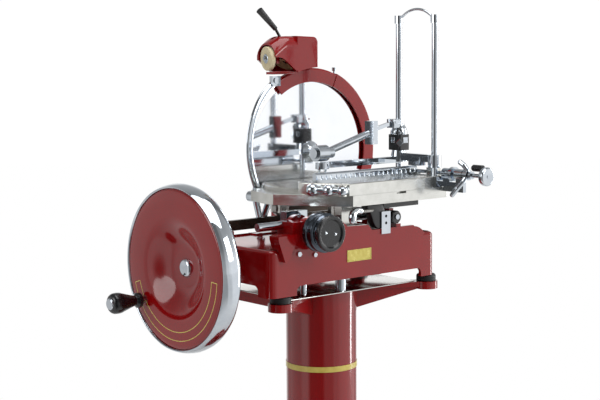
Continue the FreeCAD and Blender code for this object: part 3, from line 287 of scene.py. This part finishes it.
# ---- Base casting --------------------------------------------------------
# One iron casting, filled, flatted and stove enamelled; all its edges are
# rounded, the rear corner and the front brow with a large soft radius.
SOFT = 13 * MM
SMALL = 1.6 * MM
DECK = 898 * MM
SOFT_LENGTH = 30 * MM
base = finish_mesh(weld("base_frame"), "base_frame_skin")
seat(base, red, "red_enamel", "frame", "base_frame")
low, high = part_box("base_frame")
weights = base.data.attributes.new("bevel_weight_edge", "FLOAT", "EDGE")
for edge in base.data.edges:
    a, b = (base.data.vertices[i].co for i in edge.vertices)
    rear_post = all(abs(end.x - high.x) < MM and abs(end.y - high.y) < MM
                    for end in (a, b))
    brow = all(abs(end.z - DECK) < MM and end.y < low.y + MM
               for end in (a, b))
    if (rear_post or brow) and (a - b).length > SOFT_LENGTH:
        weights.data[edge.index].value = 1
    elif edge.use_edge_sharp:
        weights.data[edge.index].value = SMALL / SOFT
rounding = base.modifiers.new("edges", "BEVEL")
rounding.width = SOFT
rounding.segments = 5
rounding.limit_method = "WEIGHT"
rounding.harden_normals = True

# ---- Hold-down studs, guide rod and small fittings -----------------------
# Turned steel, buffed and chromium plated: a deep reflection with faint
# buffing waves and the marks of a wiping cloth.


def plated(name, colours, rough, wave=0.25):
    """Buffed and plated metal with waves 30 mm long."""
    return surface(name, colours, (25, 4), (30, 1), (rough, rough + 0.05),
                   (0.12, wave), Metallic=1.0)


chrome = plated("bright_chrome_plate", ("#C6CDD5", "#D2D8DE"), 0.04)
recast(chrome, "chrome", "frame", "hold_down_studs", "chrome_fittings",
       bevel=0.7 * MM)
recast(chrome, "chrome", "frame", "guide_rod")

# ---- Guide bar -----------------------------------------------------------
# A steel bar planed lengthwise that the carriage rollers run on, held at
# the ends of the casting and dark with oil.
oiled, shader, place = start("oiled_planed_steel", Metallic=0.85)
drag = put(oiled, "ShaderNodeMapping", {
    "Vector": place, "Scale": (1, 0.03, 1)})
planed = put(oiled, "ShaderNodeTexNoise", {
    "Vector": drag, "Scale": 1 / (1.5 * MM), "Detail": 3})
film = put(oiled, "ShaderNodeTexNoise", {
    "Vector": place, "Scale": 1 / (40 * MM), "Detail": 3})
wire(oiled, shader, {
    "Base Color": put(oiled, "ShaderNodeValToRGB", {"Fac": film},
                      [(0.3, "#4A4038"), (0.7, "#5B5047")]),
    "Roughness": put(oiled, "ShaderNodeMapRange", {
        "Value": film, "To Min": 0.16, "To Max": 0.32}),
    "Normal": put(oiled, "ShaderNodeBump", {
        "Height": planed, "Distance": 0.02 * MM, "Strength": 0.4})})
recast(oiled, "dark_steel", "frame", "guide_bar", bevel=1 * MM)

# ---- Brass plate ---------------------------------------------------------
# A thin brass sheet with a raised border and a blank field, polished and
# handled, held on the casting by four round pins.
brass = surface("polished_brass_sheet", ("#BFB060", "#CFC375"), (9, 4),
                (9, 4), (0.16, 0.34), (0.02, 0.4), Metallic=1.0)
BORDER = 2.4 * MM
SUNK = 0.4 * MM
plate_low, plate_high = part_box("blank_plate")
span = plate_high - plate_low
bm = block(plate_low, plate_high)
front = [f for f in bm.faces if f.normal.x > 0.9]
bmesh.ops.inset_region(bm, faces=front, thickness=BORDER)
inner = [f for f in bm.faces if f.normal.x > 0.9 and
         f.calc_area() > 0.6 * span.y * span.z]
bmesh.ops.inset_region(bm, faces=inner, thickness=SUNK, depth=-SUNK)
seat(finish_mesh(bm, "blank_brass_plate", 20), brass, "brass", "frame",
     "blank_plate")

AXES = {"X": (Vector((1, 0, 0)), Vector((0, 0, 1))),
        "Y": (Vector((0, 1, 0)), Vector((0, 0, 1))),
        "Z": (Vector((0, 0, 1)), Vector((1, 0, 0)))}


def lathe(name, profile, centre, axis, steps=48, angle=35):
    """A turned piece: points of (radius, height) in millimetres spun round
    an axis through the centre, which is in metres."""
    along, aside = AXES[axis] if isinstance(axis, str) else axis
    centre = Vector(centre)
    bm = bmesh.new()
    ring = [bm.verts.new(centre + along * (h * MM) + aside * (r * MM))
            for r, h in profile]
    line = [bm.edges.new(pair) for pair in zip(ring, ring[1:])]
    bmesh.ops.spin(bm, geom=ring + line, cent=centre, axis=along,
                   dvec=(0, 0, 0), angle=math.tau, steps=steps,
                   use_merge=True, use_duplicate=False)
    bmesh.ops.remove_doubles(bm, verts=bm.verts, dist=0.01 * MM)
    bmesh.ops.recalc_face_normals(bm, faces=bm.faces)
    return finish_mesh(bm, name, angle)


PIN_HEAD = [(0, 0.9), (0.7, 0.75), (1.15, 0.35), (1.25, -0.2), (0, -0.2)]
PINS = ((-49, 859), (19.5, 859), (-49, 880), (19.5, 880))
for i, (y, z) in enumerate(PINS):
    pin = lathe("plate_pin_%d" % i, PIN_HEAD, (plate_high.x, y * MM, z * MM),
                "X", 16)
    seat(pin, brass, "brass", "frame")

# ---- Bearings and bushes -------------------------------------------------
# Plain bronze bushes turned and pressed in the casting, and ground steel
# rings in the post, a little oily.
bronze = surface("bearing_bronze", ("#8E6A33", "#A47D40"), (4, 3), (4, 3),
                 (0.25, 0.4), (0.02, 0.4), Metallic=1.0)
recast(bronze, "bronze", "frame", "shaft_bushes")
steel = surface("ground_machine_steel", ("#8F8D89", "#A9A8A5"), (22, 3),
                (2, 4), (0.2, 0.36), (0.03, 0.4), Metallic=1.0)
recast(steel, "bright_steel", "frame", "post_bearings")

# ---- Post, gear housing and blade guard ----------------------------------
# Iron castings bolted to the base; the guard is a channel ring that the
# edge of the blade runs in, in two lengths with a seam between them.
recast(red, "red_enamel", "frame", "blade_post", "gear_cover",
       bevel=1.5 * MM)
recast(red, "red_enamel", "frame", "ring_guard_rear", "ring_guard_front",
       bevel=0.9 * MM)

# ---- Front guard bar -----------------------------------------------------
# Oval steel bar bent round the blade on the operator's side, chromium
# plated, in a clip above and a cast bracket with two legs below.
recast(chrome, "chrome", "frame", "front_guard", bevel=1 * MM)

# ---- Sharpener -----------------------------------------------------------
# A cast hood over two stones: a flat cream wheel that grinds and a tan cup
# that takes off the burr, their grit drawn twice as coarse as it is so that
# it shows. The lever's grip is phenolic, turned and polished to a deep black.
GRID_X = range(-180, -115, 5)
GRID_Y = range(-37, 20, 4)
GRID_Z = range(1310, 1360, 10)
HOOD_MIDDLE = -148.5
HOOD_HALF = 36.5
LEFT_WALL = -150
NOSE_BACK = 14
NOSE_RUN = 55
BROW = 1312
CROWN = 46
MIDDLE_DROP = 5
SIDE_DROP = 27
NOSE_CURVE = 1.6
SIDE_CURVE = 2.4
SLANT_AT = Vector((0, -41, 1313)) * MM
SLANT_WAY = Vector((0, 34, 44)).normalized()


def split(bm, faces, spot, across):
    """Cuts faces along a plane and leaves both sides in place."""
    geom = list(dict.fromkeys(e for f in faces for e in f.edges)) + faces
    geom += list(dict.fromkeys(v for f in faces for v in f.verts))
    bmesh.ops.bisect_plane(bm, geom=geom, plane_co=spot, plane_no=across,
                           dist=0.001 * MM)


bm = weld("sharpener_housing")
cuts = [((0, y * MM, 0), (0, 1, 0)) for y in GRID_Y]
cuts += [((x * MM, 0, 0), (1, 0, 0)) for x in GRID_X]
cuts += [((0, 0, z * MM), (0, 0, 1)) for z in GRID_Z]
for spot, across in cuts:
    split(bm, [f for f in bm.faces
               if min(v.co.y for v in f.verts) < NOSE_BACK * MM],
          spot, across)
split(bm, list(bm.faces), (LEFT_WALL * MM, 0, 0), (1, 0, 0))
split(bm, [f for f in bm.faces
           if f.calc_center_median().x < LEFT_WALL * MM],
      SLANT_AT, SLANT_WAY)
gone = [f for f in bm.faces if f.calc_center_median().x < LEFT_WALL * MM and
        (f.calc_center_median() - SLANT_AT).dot(SLANT_WAY) < 0]
bmesh.ops.delete(bm, geom=gone, context="FACES")
rims = [e for e in bm.edges if len(e.link_faces) == 1]
bmesh.ops.holes_fill(bm, edges=rims, sides=0)
bmesh.ops.recalc_face_normals(bm, faces=bm.faces)
for vert in bm.verts:
    x, y, z = vert.co / MM
    front = min(max((NOSE_BACK - y) / NOSE_RUN, 0), 1) ** NOSE_CURVE
    height = min(max((z - BROW) / CROWN, 0), 1)
    side = min(abs(x - HOOD_MIDDLE) / HOOD_HALF, 1) ** SIDE_CURVE
    vert.co.z -= front * height * (MIDDLE_DROP + SIDE_DROP * side) * MM
hood = finish_mesh(bm, "sharpener_hood", 40)
seat(hood, red, "red_enamel", "frame", "sharpener_housing")
ease(hood, 1.6 * MM, 40)

GRIT = {"patch": (9, 3), "grain": (0.9, 4), "rough": (0.75, 0.95),
        "relief": (0.25, 0.7), "worn_by": "grain"}
cream = surface("cream_bonded_corundum", ("#C9BB97", "#DACDAB"), **GRIT)
tan = surface("tan_bonded_corundum", ("#A8825F", "#BF9A76"), **GRIT)
cup_at = Vector((-138, 6, 1301)) * MM
cup_dir = Vector((0.1, -0.55, -0.83)).normalized()
cup_axis = (cup_dir, cup_dir.orthogonal().normalized())
cup = lathe("burr_cup", [
    (0, -16), (15, -16), (17, -14.5), (23.5, -0.8), (23, 0.4), (19.6, 0.4),
    (19, -0.4), (13, -10), (0, -10)], cup_at, cup_axis, 56)
seat(cup, tan, "tan_stone", "cup_stone", "cup_stone")
arbor = lathe("burr_cup_arbor", [
    (0, -43), (4, -43), (4, -10.5), (7, -10.5), (7, -7), (0, -6)],
    cup_at, cup_axis, 24)
seat(arbor, steel, "bright_steel", "cup_stone")
stone_at = Vector((-146, -38, 1316)) * MM
stone_dir = Vector((-0.2, -0.96, -0.06)).normalized()
stone_axis = (stone_dir, stone_dir.orthogonal().normalized())
wheel = lathe("grinding_wheel", [
    (0, -6), (27.6, -6), (29, -4.6), (29, 4.6), (27.6, 6), (13, 6),
    (12.4, 5.4), (0, 5.4)], stone_at, stone_axis, 64)
seat(wheel, cream, "cream_stone", "grinding_stone", "grinding_stone")
spindle = lathe("grinding_spindle", [
    (0, -26), (5, -26), (5, -6), (11.5, -6), (11.5, -5), (0, -5)],
    stone_at, stone_axis, 32)
seat(spindle, steel, "bright_steel", "grinding_stone")
washer = lathe("grinding_washer", [
    (0, 5.2), (11.6, 5.2), (11.6, 6.6), (10.9, 7.2), (6, 7.4), (0, 7.4)],
    stone_at, stone_axis, 40)
seat(washer, chrome, "bright_steel", "grinding_stone")
nut = lathe("grinding_nut", [
    (0, 7.2), (6.9, 7.2), (6.9, 10.4), (6.2, 11.2), (3.2, 11.2), (3, 12),
    (0, 12)], stone_at, stone_axis, 6, 20)
seat(nut, chrome, "bright_steel", "grinding_stone")

POLISHED = {"patch": (18, 4), "grain": (1.2, 3), "relief": (0.02, 0.5),
            "Specular_IOR_Level": 0.5, "Coat_Weight": 0.3,
            "Coat_Roughness": 0.12}
bakelite = surface("black_turned_bakelite", ("#0A0A0C", "#131417"),
                   rough=(0.2, 0.34), **POLISHED)
lever = finish_mesh(weld("sharpener_lever"), "sharpener_lever_grip")
seat(lever, bakelite, "black_grip", "sharpener_lever", "sharpener_lever")

# ---- Flywheel ------------------------------------------------------------
# A spun steel disc with a wide dish, enamelled like the casting, in a
# chromed rim; a shaft with a domed spanner nut carries it.
HUB = Vector((20, 0, 866)) * MM
FACE = -440
SLOPE_IN = 42
SLOPE_OUT = 118
DISH = 34
DISC_SHEET = 8
STEPS = 12
slope = []
for i in range(STEPS + 1):
    r = SLOPE_IN + (SLOPE_OUT - SLOPE_IN) * i / STEPS
    fall = 0.5 + 0.5 * math.cos(math.pi * i / STEPS)
    slope.append((r, FACE + DISH * fall))
spun = [(11, FACE + DISH)] + slope + [
    (165, FACE), (170, FACE + 0.6), (173.6, FACE + 2), (175.3, FACE + 4.5),
    (175.3, FACE + 16.5), (163, FACE + 12)]
spun += [(r + 3, y + DISC_SHEET + 3) for r, y in reversed(slope)]
spun += [(36, FACE + 47), (31, FACE + 52), (28.5, FACE + 82),
         (26.5, FACE + 84), (11, FACE + 84), (11, FACE + DISH)]
seat(lathe("flywheel_dish", spun, HUB, "Y", 128, 40), red, "red_enamel",
     "flywheel", "flywheel_disc")
recast(chrome, "chrome", "flywheel", "flywheel_rim", "main_shaft",
       "crank_stud")
recast(steel, "bright_steel", "flywheel", "main_bevel_gear")

LINE = 1.7
LINE_FOOT = 0.05


def gold_arc(name, radius, first, last, width=LINE, proud=0.12):
    """One painted line along a circle on the wheel's face, in degrees."""
    bm = bmesh.new()
    along = Vector((0, 1, 0))
    begin = math.radians(first)
    aside = Vector((math.cos(begin), 0, math.sin(begin)))
    inner = radius - width / 2
    outer = radius + width / 2
    top = FACE - proud
    foot = FACE + LINE_FOOT
    section = [bm.verts.new(HUB + aside * (r * MM) + along * (y * MM))
               for r, y in ((inner, top), (outer, top), (outer, foot),
                            (inner, foot))]
    face = bm.faces.new(section)
    bmesh.ops.spin(bm, geom=[face] + list(face.edges) + section, cent=HUB,
                   axis=along, dvec=(0, 0, 0),
                   angle=-math.radians(last - first),
                   steps=max(2, int(abs(last - first))), use_merge=False,
                   use_duplicate=False)
    bmesh.ops.recalc_face_normals(bm, faces=bm.faces)
    return finish_mesh(bm, name)


BAND = (137, 156)
ENDS = (-163, -4.5)
for i, radius in enumerate(BAND):
    seat(gold_arc("wheel_gold_arc_%d" % i, radius, *ENDS), gold, "brass",
         "flywheel")
middle = sum(BAND) / 2
for i, angle in enumerate(ENDS):
    half = math.degrees(LINE / 2 / middle)
    seat(gold_arc("wheel_gold_end_%d" % i, middle, angle - half,
                  angle + half, BAND[1] - BAND[0] + LINE, 0.11), gold,
         "brass", "flywheel")
recast(bakelite, "black_grip", "crank_grip", "crank_grip")

# ---- Crank wheel, shafts and gears ---------------------------------------
# Cut steel gears on ground shafts, a little oily; they turn the blade and
# drive the carriage from below.
recast(steel, "bright_steel", "crank_wheel", "crank_wheel_gear",
       "crank_arm")
recast(steel, "bright_steel", "cross_shaft", "cross_bevel_gear",
       "cross_spur_gear", "cross_shaft")
recast(steel, "bright_steel", "idler", "idler_gear")

# ---- Blade ---------------------------------------------------------------
# A hollow ground round knife, polished to a mirror; the grinding leaves
# rings round its axis, drawn 3 mm apart so that they show.
BLADE_AT = Vector((-150, 96, 1085)) * MM
RING_STEP = 3 * MM
WAVES_PER_SCALE = 20
mirror, shader, place = start("mirror_ground_blade_steel", Metallic=1.0)
centred = put(mirror, "ShaderNodeMapping", {
    "Vector": place, "Location": -BLADE_AT})
rings = put(mirror, "ShaderNodeTexWave", {
    "Vector": centred, "Scale": 1 / RING_STEP / WAVES_PER_SCALE,
    "Distortion": 0.4, "Detail": 2.0}, wave_type="RINGS",
    rings_direction="X")
haze = put(mirror, "ShaderNodeTexNoise", {
    "Vector": place, "Scale": 1 / (60 * MM), "Detail": 4})
wire(mirror, shader, {
    "Base Color": put(mirror, "ShaderNodeValToRGB", {"Fac": haze},
                      [(0.3, "#F1F4F9"), (0.7, "#F6F8FB")]),
    "Roughness": put(mirror, "ShaderNodeMapRange", {
        "Value": haze, "To Min": 0.03, "To Max": 0.08}),
    "Normal": put(mirror, "ShaderNodeBump", {
        "Height": rings.outputs["Fac"], "Distance": 0.004 * MM,
        "Strength": 0.25})})
recast(mirror, "blade_steel", "blade", "blade")
recast(chrome, "chrome", "blade", "blade_hub_cap")
recast(steel, "bright_steel", "blade", "blade_shaft")

# ---- Carriage ------------------------------------------------------------
# Cast aluminium, machined and buffed bright, running on a round rod and on
# two steel rollers.
alloy = plated("buffed_cast_aluminium", ("#D3D3CE", "#DEDEDA"), 0.2, 0.35)
recast(alloy, "polished_aluminium", "carriage", "carriage_frame",
       "rod_bearings", bevel=1.5 * MM)
recast(steel, "bright_steel", "carriage", "crosshead_yoke", bevel=0.8 * MM)
recast(steel, "bright_steel", "roller_front", "roller_front")
recast(steel, "bright_steel", "roller_rear", "roller_rear")

# ---- Meat table ----------------------------------------------------------
# Two buffed aluminium plates with a ribbed top; on them a spiked strip that
# holds the meat, two tall rods with a bow and a grip of three bulges, which
# swings on a pin, all chromium plated.
recast(alloy, "polished_aluminium", "table", "meat_table", bevel=0.8 * MM)
recast(chrome, "chrome", "table", "spike_strip", bevel=0.3 * MM)
recast(chrome, "chrome", "table", "tower")
recast(chrome, "chrome", "table", "screw_bracket", bevel=0.9 * MM)


def bulge(at, radius):
    """Half a circle of a turned profile, cut off at its necks."""
    return [(radius * math.cos(math.radians(a)),
             at + radius * math.sin(math.radians(a)))
            for a in range(-66, 67, 12)]


GRIP_AT = Vector((97, -122, 1022)) * MM
GRIP_WAY = (Vector((69, 42, 0)).normalized(), Vector((0, 0, 1)))
HINGE = Vector((166, -80, 1022)) * MM
HINGE_ROOM = 16 * MM
EYE_HALF = 9.1 * MM
grip = lathe("table_grip_bulges", [(0, -4)] + bulge(10.5, 14.5) +
             bulge(48, 13.2) + bulge(81, 11.8) + [(0, 92.8)],
             GRIP_AT, GRIP_WAY, 48, 50)
for vert in grip.data.vertices:
    if (vert.co - HINGE).length < HINGE_ROOM:
        lift = vert.co.z - HINGE.z
        vert.co.z = HINGE.z + min(max(lift, -EYE_HALF), EYE_HALF)
seat(grip, chrome, "chrome", "table_grip", "table_grip")

# ---- Feed screw and its levers -------------------------------------------
# A turned and plated steel screw with its ratchet and hand disc, a small
# black grip and a bent plated lever, held by the bracket on the table.
recast(chrome, "chrome", "feed_screw", "feed_screw", bevel=0.4 * MM)
recast(bakelite, "black_grip", "feed_grip", "feed_grip", bevel=1 * MM)
recast(chrome, "chrome", "ratchet_lever", "ratchet_lever")

# ---- Clamp ---------------------------------------------------------------
# A black painted block on the left rod with two bright windows, a bolt and
# a tab on its corner, and a domed chrome cap; the arm hinges on the cap.
blackened = surface("satin_black_paint", ("#0D0E10", "#17181B"),
                    rough=(0.28, 0.42), **POLISHED)
recast(blackened, "black_iron", "clamp", "clamp_body", bevel=2.5 * MM)
ROD = Vector((34, 225, 0)) * MM
CORNER = (Vector((0.753, -0.657, 0)), Vector((0, 0, 1)))
BOLT_AT = ROD + Vector((0, 0, 1135 * MM))
TAB_AT = ROD + Vector((0, 0, 1111 * MM))
dome = lathe("clamp_dome", [
    (8, 1130.2), (20.5, 1130.2), (21, 1133), (20, 1140), (17, 1148),
    (12.6, 1155), (12, 1168), (8, 1168), (8, 1130.2)], ROD, "Z", 64)
seat(dome, chrome, "chrome", "clamp", "clamp_cap")
EARS = (("left", 21, 28.8), ("right", 39.2, 47))
for side, low, high in EARS:
    ear = slab("clamp_ear_" + side, Vector((low, 196, 1146)) * MM,
               Vector((high, 216, 1168)) * MM, 1.5 * MM)
    seat(ear, chrome, "chrome", "clamp")
pin = lathe("clamp_ear_pin", [(0, -14), (4, -14), (4, 14), (0, 14)],
            Vector((34, 205, 1160)) * MM, "X", 24)
seat(pin, chrome, "chrome", "clamp")
ring = lathe("clamp_bolt_ring", [
    (0, 18), (8.6, 18), (8.6, 21.8), (7.8, 22.6), (5.6, 22.6), (5.4, 22),
    (0, 22)], BOLT_AT, CORNER, 32)
seat(ring, blackened, "black_iron", "clamp")
bolt = lathe("clamp_bolt", [
    (0, 21), (5, 21), (5, 24.2), (4, 25.4), (0, 26)], BOLT_AT, CORNER, 24)
seat(bolt, chrome, "chrome", "clamp")
tab = lathe("clamp_corner_tab", [
    (0, 24), (9.5, 24), (9.5, 27.6), (8.6, 28.4), (0, 28.4)],
    TAB_AT, CORNER, 4, 20)
seat(tab, chrome, "chrome", "clamp")
recast(chrome, "chrome", "clamp", "presser_bar", bevel=1.2 * MM)
recast(chrome, "chrome", "clamp_arm", "clamp_arm", bevel=1.2 * MM)
WINDOWS = (("front", (25, 206.9, 1109.5), (38, 208.6, 1123.5)),
           ("side", (54.4, 219, 1109.5), (56.1, 234, 1123.5)))
for side, low, high in WINDOWS:
    seat(slab("clamp_window_" + side, Vector(low) * MM, Vector(high) * MM,
              0.5 * MM), chrome, "chrome", "clamp")

# ---- Thickness knob ------------------------------------------------------
# A stepped drum turned from steel and plated in black chrome, its dark grey partly
# a painted reflection of the dark room, with a black face that two screws hold; it sets
# the thickness of a slice.
# The drum's dark grey is partly painted reflection: it stands in for the dark room that
# the plating mirrors.
dark_plate_with_painted_reflection = plated("black_chrome_with_painted_dark_reflection", ("#4A5058", "#5C636C"), 0.05)
recast(dark_plate_with_painted_reflection, "chrome", "thickness_knob", "knob_body", bevel=0.8 * MM)
recast(bakelite, "black_grip", "thickness_knob", "knob_face",
       bevel=0.6 * MM)
SCREW_HEAD = [(0, 2.0), (2.2, 1.8), (3.4, 1.1), (3.9, 0.2), (3.9, -0.6),
              (0, -0.6)]
SCREWS = ((-171, 939.5), (-143, 934.7))
for i, (y, z) in enumerate(SCREWS):
    head = lathe("knob_screw_%d" % i, SCREW_HEAD,
                 (213.2 * MM, y * MM, z * MM), "X", 24)
    seat(head, chrome, "chrome", "thickness_knob")

# ---- Trip gear -----------------------------------------------------------
# A black iron bracket on the casting with a bright plate and a bent chromed
# lever like a horn, which throws the table feed out of gear.


def cast_plate(name, outline, near, far, radius):
    """A casting drawn in Y and Z and as thick as near to far in X."""
    bm = bmesh.new()
    face = bm.faces.new([bm.verts.new(Vector((near, y, z)) * MM)
                         for y, z in outline])
    more = bmesh.ops.extrude_face_region(bm, geom=[face])
    moved = [v for v in more["geom"] if isinstance(v, bmesh.types.BMVert)]
    bmesh.ops.translate(bm, verts=moved, vec=((far - near) * MM, 0, 0))
    bmesh.ops.recalc_face_normals(bm, faces=bm.faces)
    round_off(bm, radius * MM)
    return finish_mesh(bm, name, 50)


PLATE_TOP = 966 * MM
bar = finish_mesh(weld("trip_bar"), "trip_bar_skin")
seat(bar, chrome, "chrome", "frame", "trip_bar")
bar.data.materials.append(blackened)
for face in bar.data.polygons:
    face.material_index = int(face.center.z > PLATE_TOP)
WING = [(12, 981), (12, 974), (20, 966), (26, 955), (31, 941), (38, 930),
        (46, 924), (68, 924), (72, 931), (72, 958), (66, 968), (60, 981)]
seat(cast_plate("trip_bracket_wing", WING, 128, 149.5, 2.2), blackened,
     "black_iron", "frame", "trip_bracket")
seat(slab("trip_bracket_arm", Vector((128, 68, 932)) * MM,
          Vector((148, 106, 962)) * MM, 6 * MM), blackened, "black_iron",
     "frame")
seat(lathe("trip_bracket_boss", [(0, 8), (14, 8), (15.5, 9.5), (15.5, 24),
                                 (13.5, 26.5), (0, 26.8)],
           Vector((130, 99, 947)) * MM, "X", 48), blackened, "black_iron",
     "frame")
seat(lathe("trip_bracket_rod", [(0, -45), (4.5, -45), (4.5, 0), (0, 0)],
           Vector((147, 29, 968)) * MM, "Y", 24), steel, "bright_steel",
     "frame")
STATIONS = (((147, -2, 968), 8.5), ((149, -14, 971), 9), ((151, -26, 972), 9),
            ((154, -36, 968), 9.5), ((156, -41, 959), 9.5),
            ((156, -41, 949), 8.5), ((156, -40, 943), 5))
bm = bmesh.new()
path = [Vector(at) * MM for at, radius in STATIONS]
loops = []
for i, (at, radius) in enumerate(STATIONS):
    run = path[min(i + 1, len(path) - 1)] - path[max(i - 1, 0)]
    turn = run.to_track_quat("Z", "Y").to_matrix().to_4x4()
    turn.translation = path[i]
    made = bmesh.ops.create_circle(bm, cap_ends=False, segments=20,
                                   radius=radius * MM, matrix=turn)
    loops.append(list(dict.fromkeys(
        e for v in made["verts"] for e in v.link_edges)))
for a, b in zip(loops, loops[1:]):
    bmesh.ops.bridge_loops(bm, edges=a + b)
bmesh.ops.holes_fill(bm, edges=loops[0] + loops[-1], sides=0)
bmesh.ops.recalc_face_normals(bm, faces=bm.faces)
horn = finish_mesh(bm, "trip_lever_horn", 50)
seat(horn, chrome, "chrome", "trip_lever", "trip_lever")
smooth = horn.modifiers.new("soft", "SUBSURF")
smooth.levels = 1
smooth.render_levels = 2

# ---- Studio --------------------------------------------------------------
# A white floor and backdrop all round, with the dark of the room behind
# the camera, and soft lamps at a level that gives colours as written.
TOWARD = Vector((0.753, -0.657, 0))
RIGHT = Vector((0.657, 0.753, 0))
PANELS = ((-180, 0.95), (-150, 0.95), (-140, 0.4), (-124, 0.4), (-116, 0.62),
          (-70, 0.62), (-62, 0.95), (-46, 0.95), (-36, 0.14), (4, 0.09),
          (12, 0.42), (36, 0.42), (42, 0.75), (54, 0.75), (64, 1.0),
          (128, 1.0), (136, 0.45), (154, 0.45), (162, 0.95), (180, 0.95))
HEIGHTS = ((0.0, 0.3), (0.3, 0.42), (0.42, 1.0), (0.5, 1.0), (0.6, 0.95),
           (0.72, 0.5), (1.0, 0.3))
WALL_LEVEL = 1.08
FILL_LEVEL = 0.32


def room(owner, way):
    """Brightness of the studio round about, as metal sees it."""
    depth, side = (put(owner, "ShaderNodeVectorMath", {0: way, 1: axis},
                       operation="DOT_PRODUCT").outputs["Value"]
                   for axis in (TOWARD, RIGHT))
    turn = put(owner, "ShaderNodeMath", {0: side, 1: depth},
               operation="ARCTAN2")
    around = put(owner, "ShaderNodeMapRange", {
        "Value": turn, "From Min": -math.pi, "From Max": math.pi})
    return put(owner, "ShaderNodeValToRGB", {"Fac": around},
               [((angle + 180) / 360, level) for angle, level in PANELS])


world = bpy.data.worlds.new("white_studio")
bpy.context.scene.world = world
world.use_nodes = True
sky = world.node_tree.nodes["Background"]
way = put(world, "ShaderNodeTexCoord").outputs["Generated"]
rise = put(world, "ShaderNodeSeparateXYZ", {"Vector": way}).outputs["Z"]
upward = put(world, "ShaderNodeMapRange", {"Value": rise, "From Min": -1.0})
tall = put(world, "ShaderNodeValToRGB", {"Fac": upward}, HEIGHTS)
wall = put(world, "ShaderNodeMath", {0: room(world, way), 1: tall},
           operation="MULTIPLY")
white_wall = put(world, "ShaderNodeMath", {0: wall, 1: WALL_LEVEL},
                 operation="MULTIPLY")
rays = put(world, "ShaderNodeLightPath")
unlit = put(world, "ShaderNodeMix", {
    0: rays.outputs["Is Diffuse Ray"], 2: white_wall, 3: FILL_LEVEL},
    data_type="FLOAT")
level = put(world, "ShaderNodeMath", {
    0: rays.outputs["Is Camera Ray"], 1: unlit}, operation="MAXIMUM")
wire(world, sky, {"Color": (1, 1, 1, 1), "Strength": level})

FLOOR_RADIUS = 14
CLOUD_SIZE = 0.6
SHADOW_RADIUS = 0.7
WHITE_RADIUS = 1.7
floor_mat, shader, place = start("white_floor", Roughness=0.85,
                                 Specular_IOR_Level=0.2)
cloud = put(floor_mat, "ShaderNodeTexNoise", {
    "Vector": place, "Scale": 1 / CLOUD_SIZE, "Detail": 2})
wire(floor_mat, shader, {
    "Base Color": put(floor_mat, "ShaderNodeValToRGB", {"Fac": cloud},
                      [(0.3, "#EDEDEC"), (0.7, "#F1F1F0")])})
away = put(floor_mat, "ShaderNodeVectorMath", {0: place},
           operation="LENGTH").outputs["Value"]
fade = put(floor_mat, "ShaderNodeMapRange", {
    "Value": away, "From Min": SHADOW_RADIUS, "From Max": WHITE_RADIUS},
    interpolation_type="SMOOTHSTEP")
rays = put(floor_mat, "ShaderNodeLightPath")
seen = put(floor_mat, "ShaderNodeMath", {
    0: 1.0, 1: rays.outputs["Is Diffuse Ray"]}, operation="SUBTRACT")
share = put(floor_mat, "ShaderNodeMath", {0: fade, 1: seen},
            operation="MULTIPLY")
glow = put(floor_mat, "ShaderNodeMath", {
    0: rays.outputs["Is Camera Ray"], 1: room(floor_mat, place)},
    operation="MAXIMUM")
white = put(floor_mat, "ShaderNodeEmission", {
    "Color": (1, 1, 1, 1), "Strength": glow})
blend = put(floor_mat, "ShaderNodeMixShader", {
    "Fac": share, 1: shader, 2: white})
wire(floor_mat, floor_mat.node_tree.nodes["Material Output"],
     {"Surface": blend})
bm = bmesh.new()
bmesh.ops.create_circle(bm, cap_ends=True, segments=96, radius=FLOOR_RADIUS)
floor = finish_mesh(bm, "floor")
floor.data.materials.append(floor_mat)
floor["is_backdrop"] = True


AIM = Vector((0, 0, 1.0))


def lamp(name, at, size, power):
    """A soft lamp, in metres and watts, that looks at the machine."""
    light = bpy.data.lights.new(name, "AREA")
    light.shape = "RECTANGLE"
    light.size, light.size_y = size
    light.energy = power
    obj = bpy.data.objects.new(name, light)
    bpy.context.scene.collection.objects.link(obj)
    obj.location = at
    obj.rotation_mode = "QUATERNION"
    toward = AIM - Vector(at)
    obj.rotation_quaternion = toward.to_track_quat("-Z", "Y")


lamp("top_softbox", (0.3, -0.1, 2.9), (1.8, 1.8), 26)
lamp("side_softbox", (2.4, 0.9, 2.1), (1.0, 1.4), 24)
lamp("front_softbox", (-0.4, -2.8, 2.0), (1.6, 1.4), 20)
lamp("back_strip", (0.9, 2.5, 1.0), (0.3, 2.0), 22)

# ---- Camera --------------------------------------------------------------
# It stands at the height of the clamp, turned and tilted by these angles.
AZIMUTH = math.radians(49.754)
PITCH = math.radians(6.18)
ROLL = math.radians(0.384)
right = Vector((math.cos(AZIMUTH), math.sin(AZIMUTH), 0))
ahead = Vector((-math.sin(AZIMUTH) * math.cos(PITCH),
                math.cos(AZIMUTH) * math.cos(PITCH), -math.sin(PITCH)))
down = ahead.cross(right)
cam_x = right * math.cos(ROLL) + down * math.sin(ROLL)
cam_y = right * math.sin(ROLL) - down * math.cos(ROLL)
turned = Matrix((cam_x, cam_y, -ahead)).transposed()
lens = bpy.data.cameras.new("camera")
lens.sensor_width = 36
lens.lens = 83.0
camera = bpy.data.objects.new("camera", lens)
bpy.context.scene.collection.objects.link(camera)
camera.location = (2.45394, -2.14094, 1.33548)
camera.rotation_mode = "QUATERNION"
camera.rotation_quaternion = turned.to_quaternion()
bpy.context.scene.camera = camera
bpy.context.scene.view_settings.view_transform = "Standard"

low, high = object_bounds()
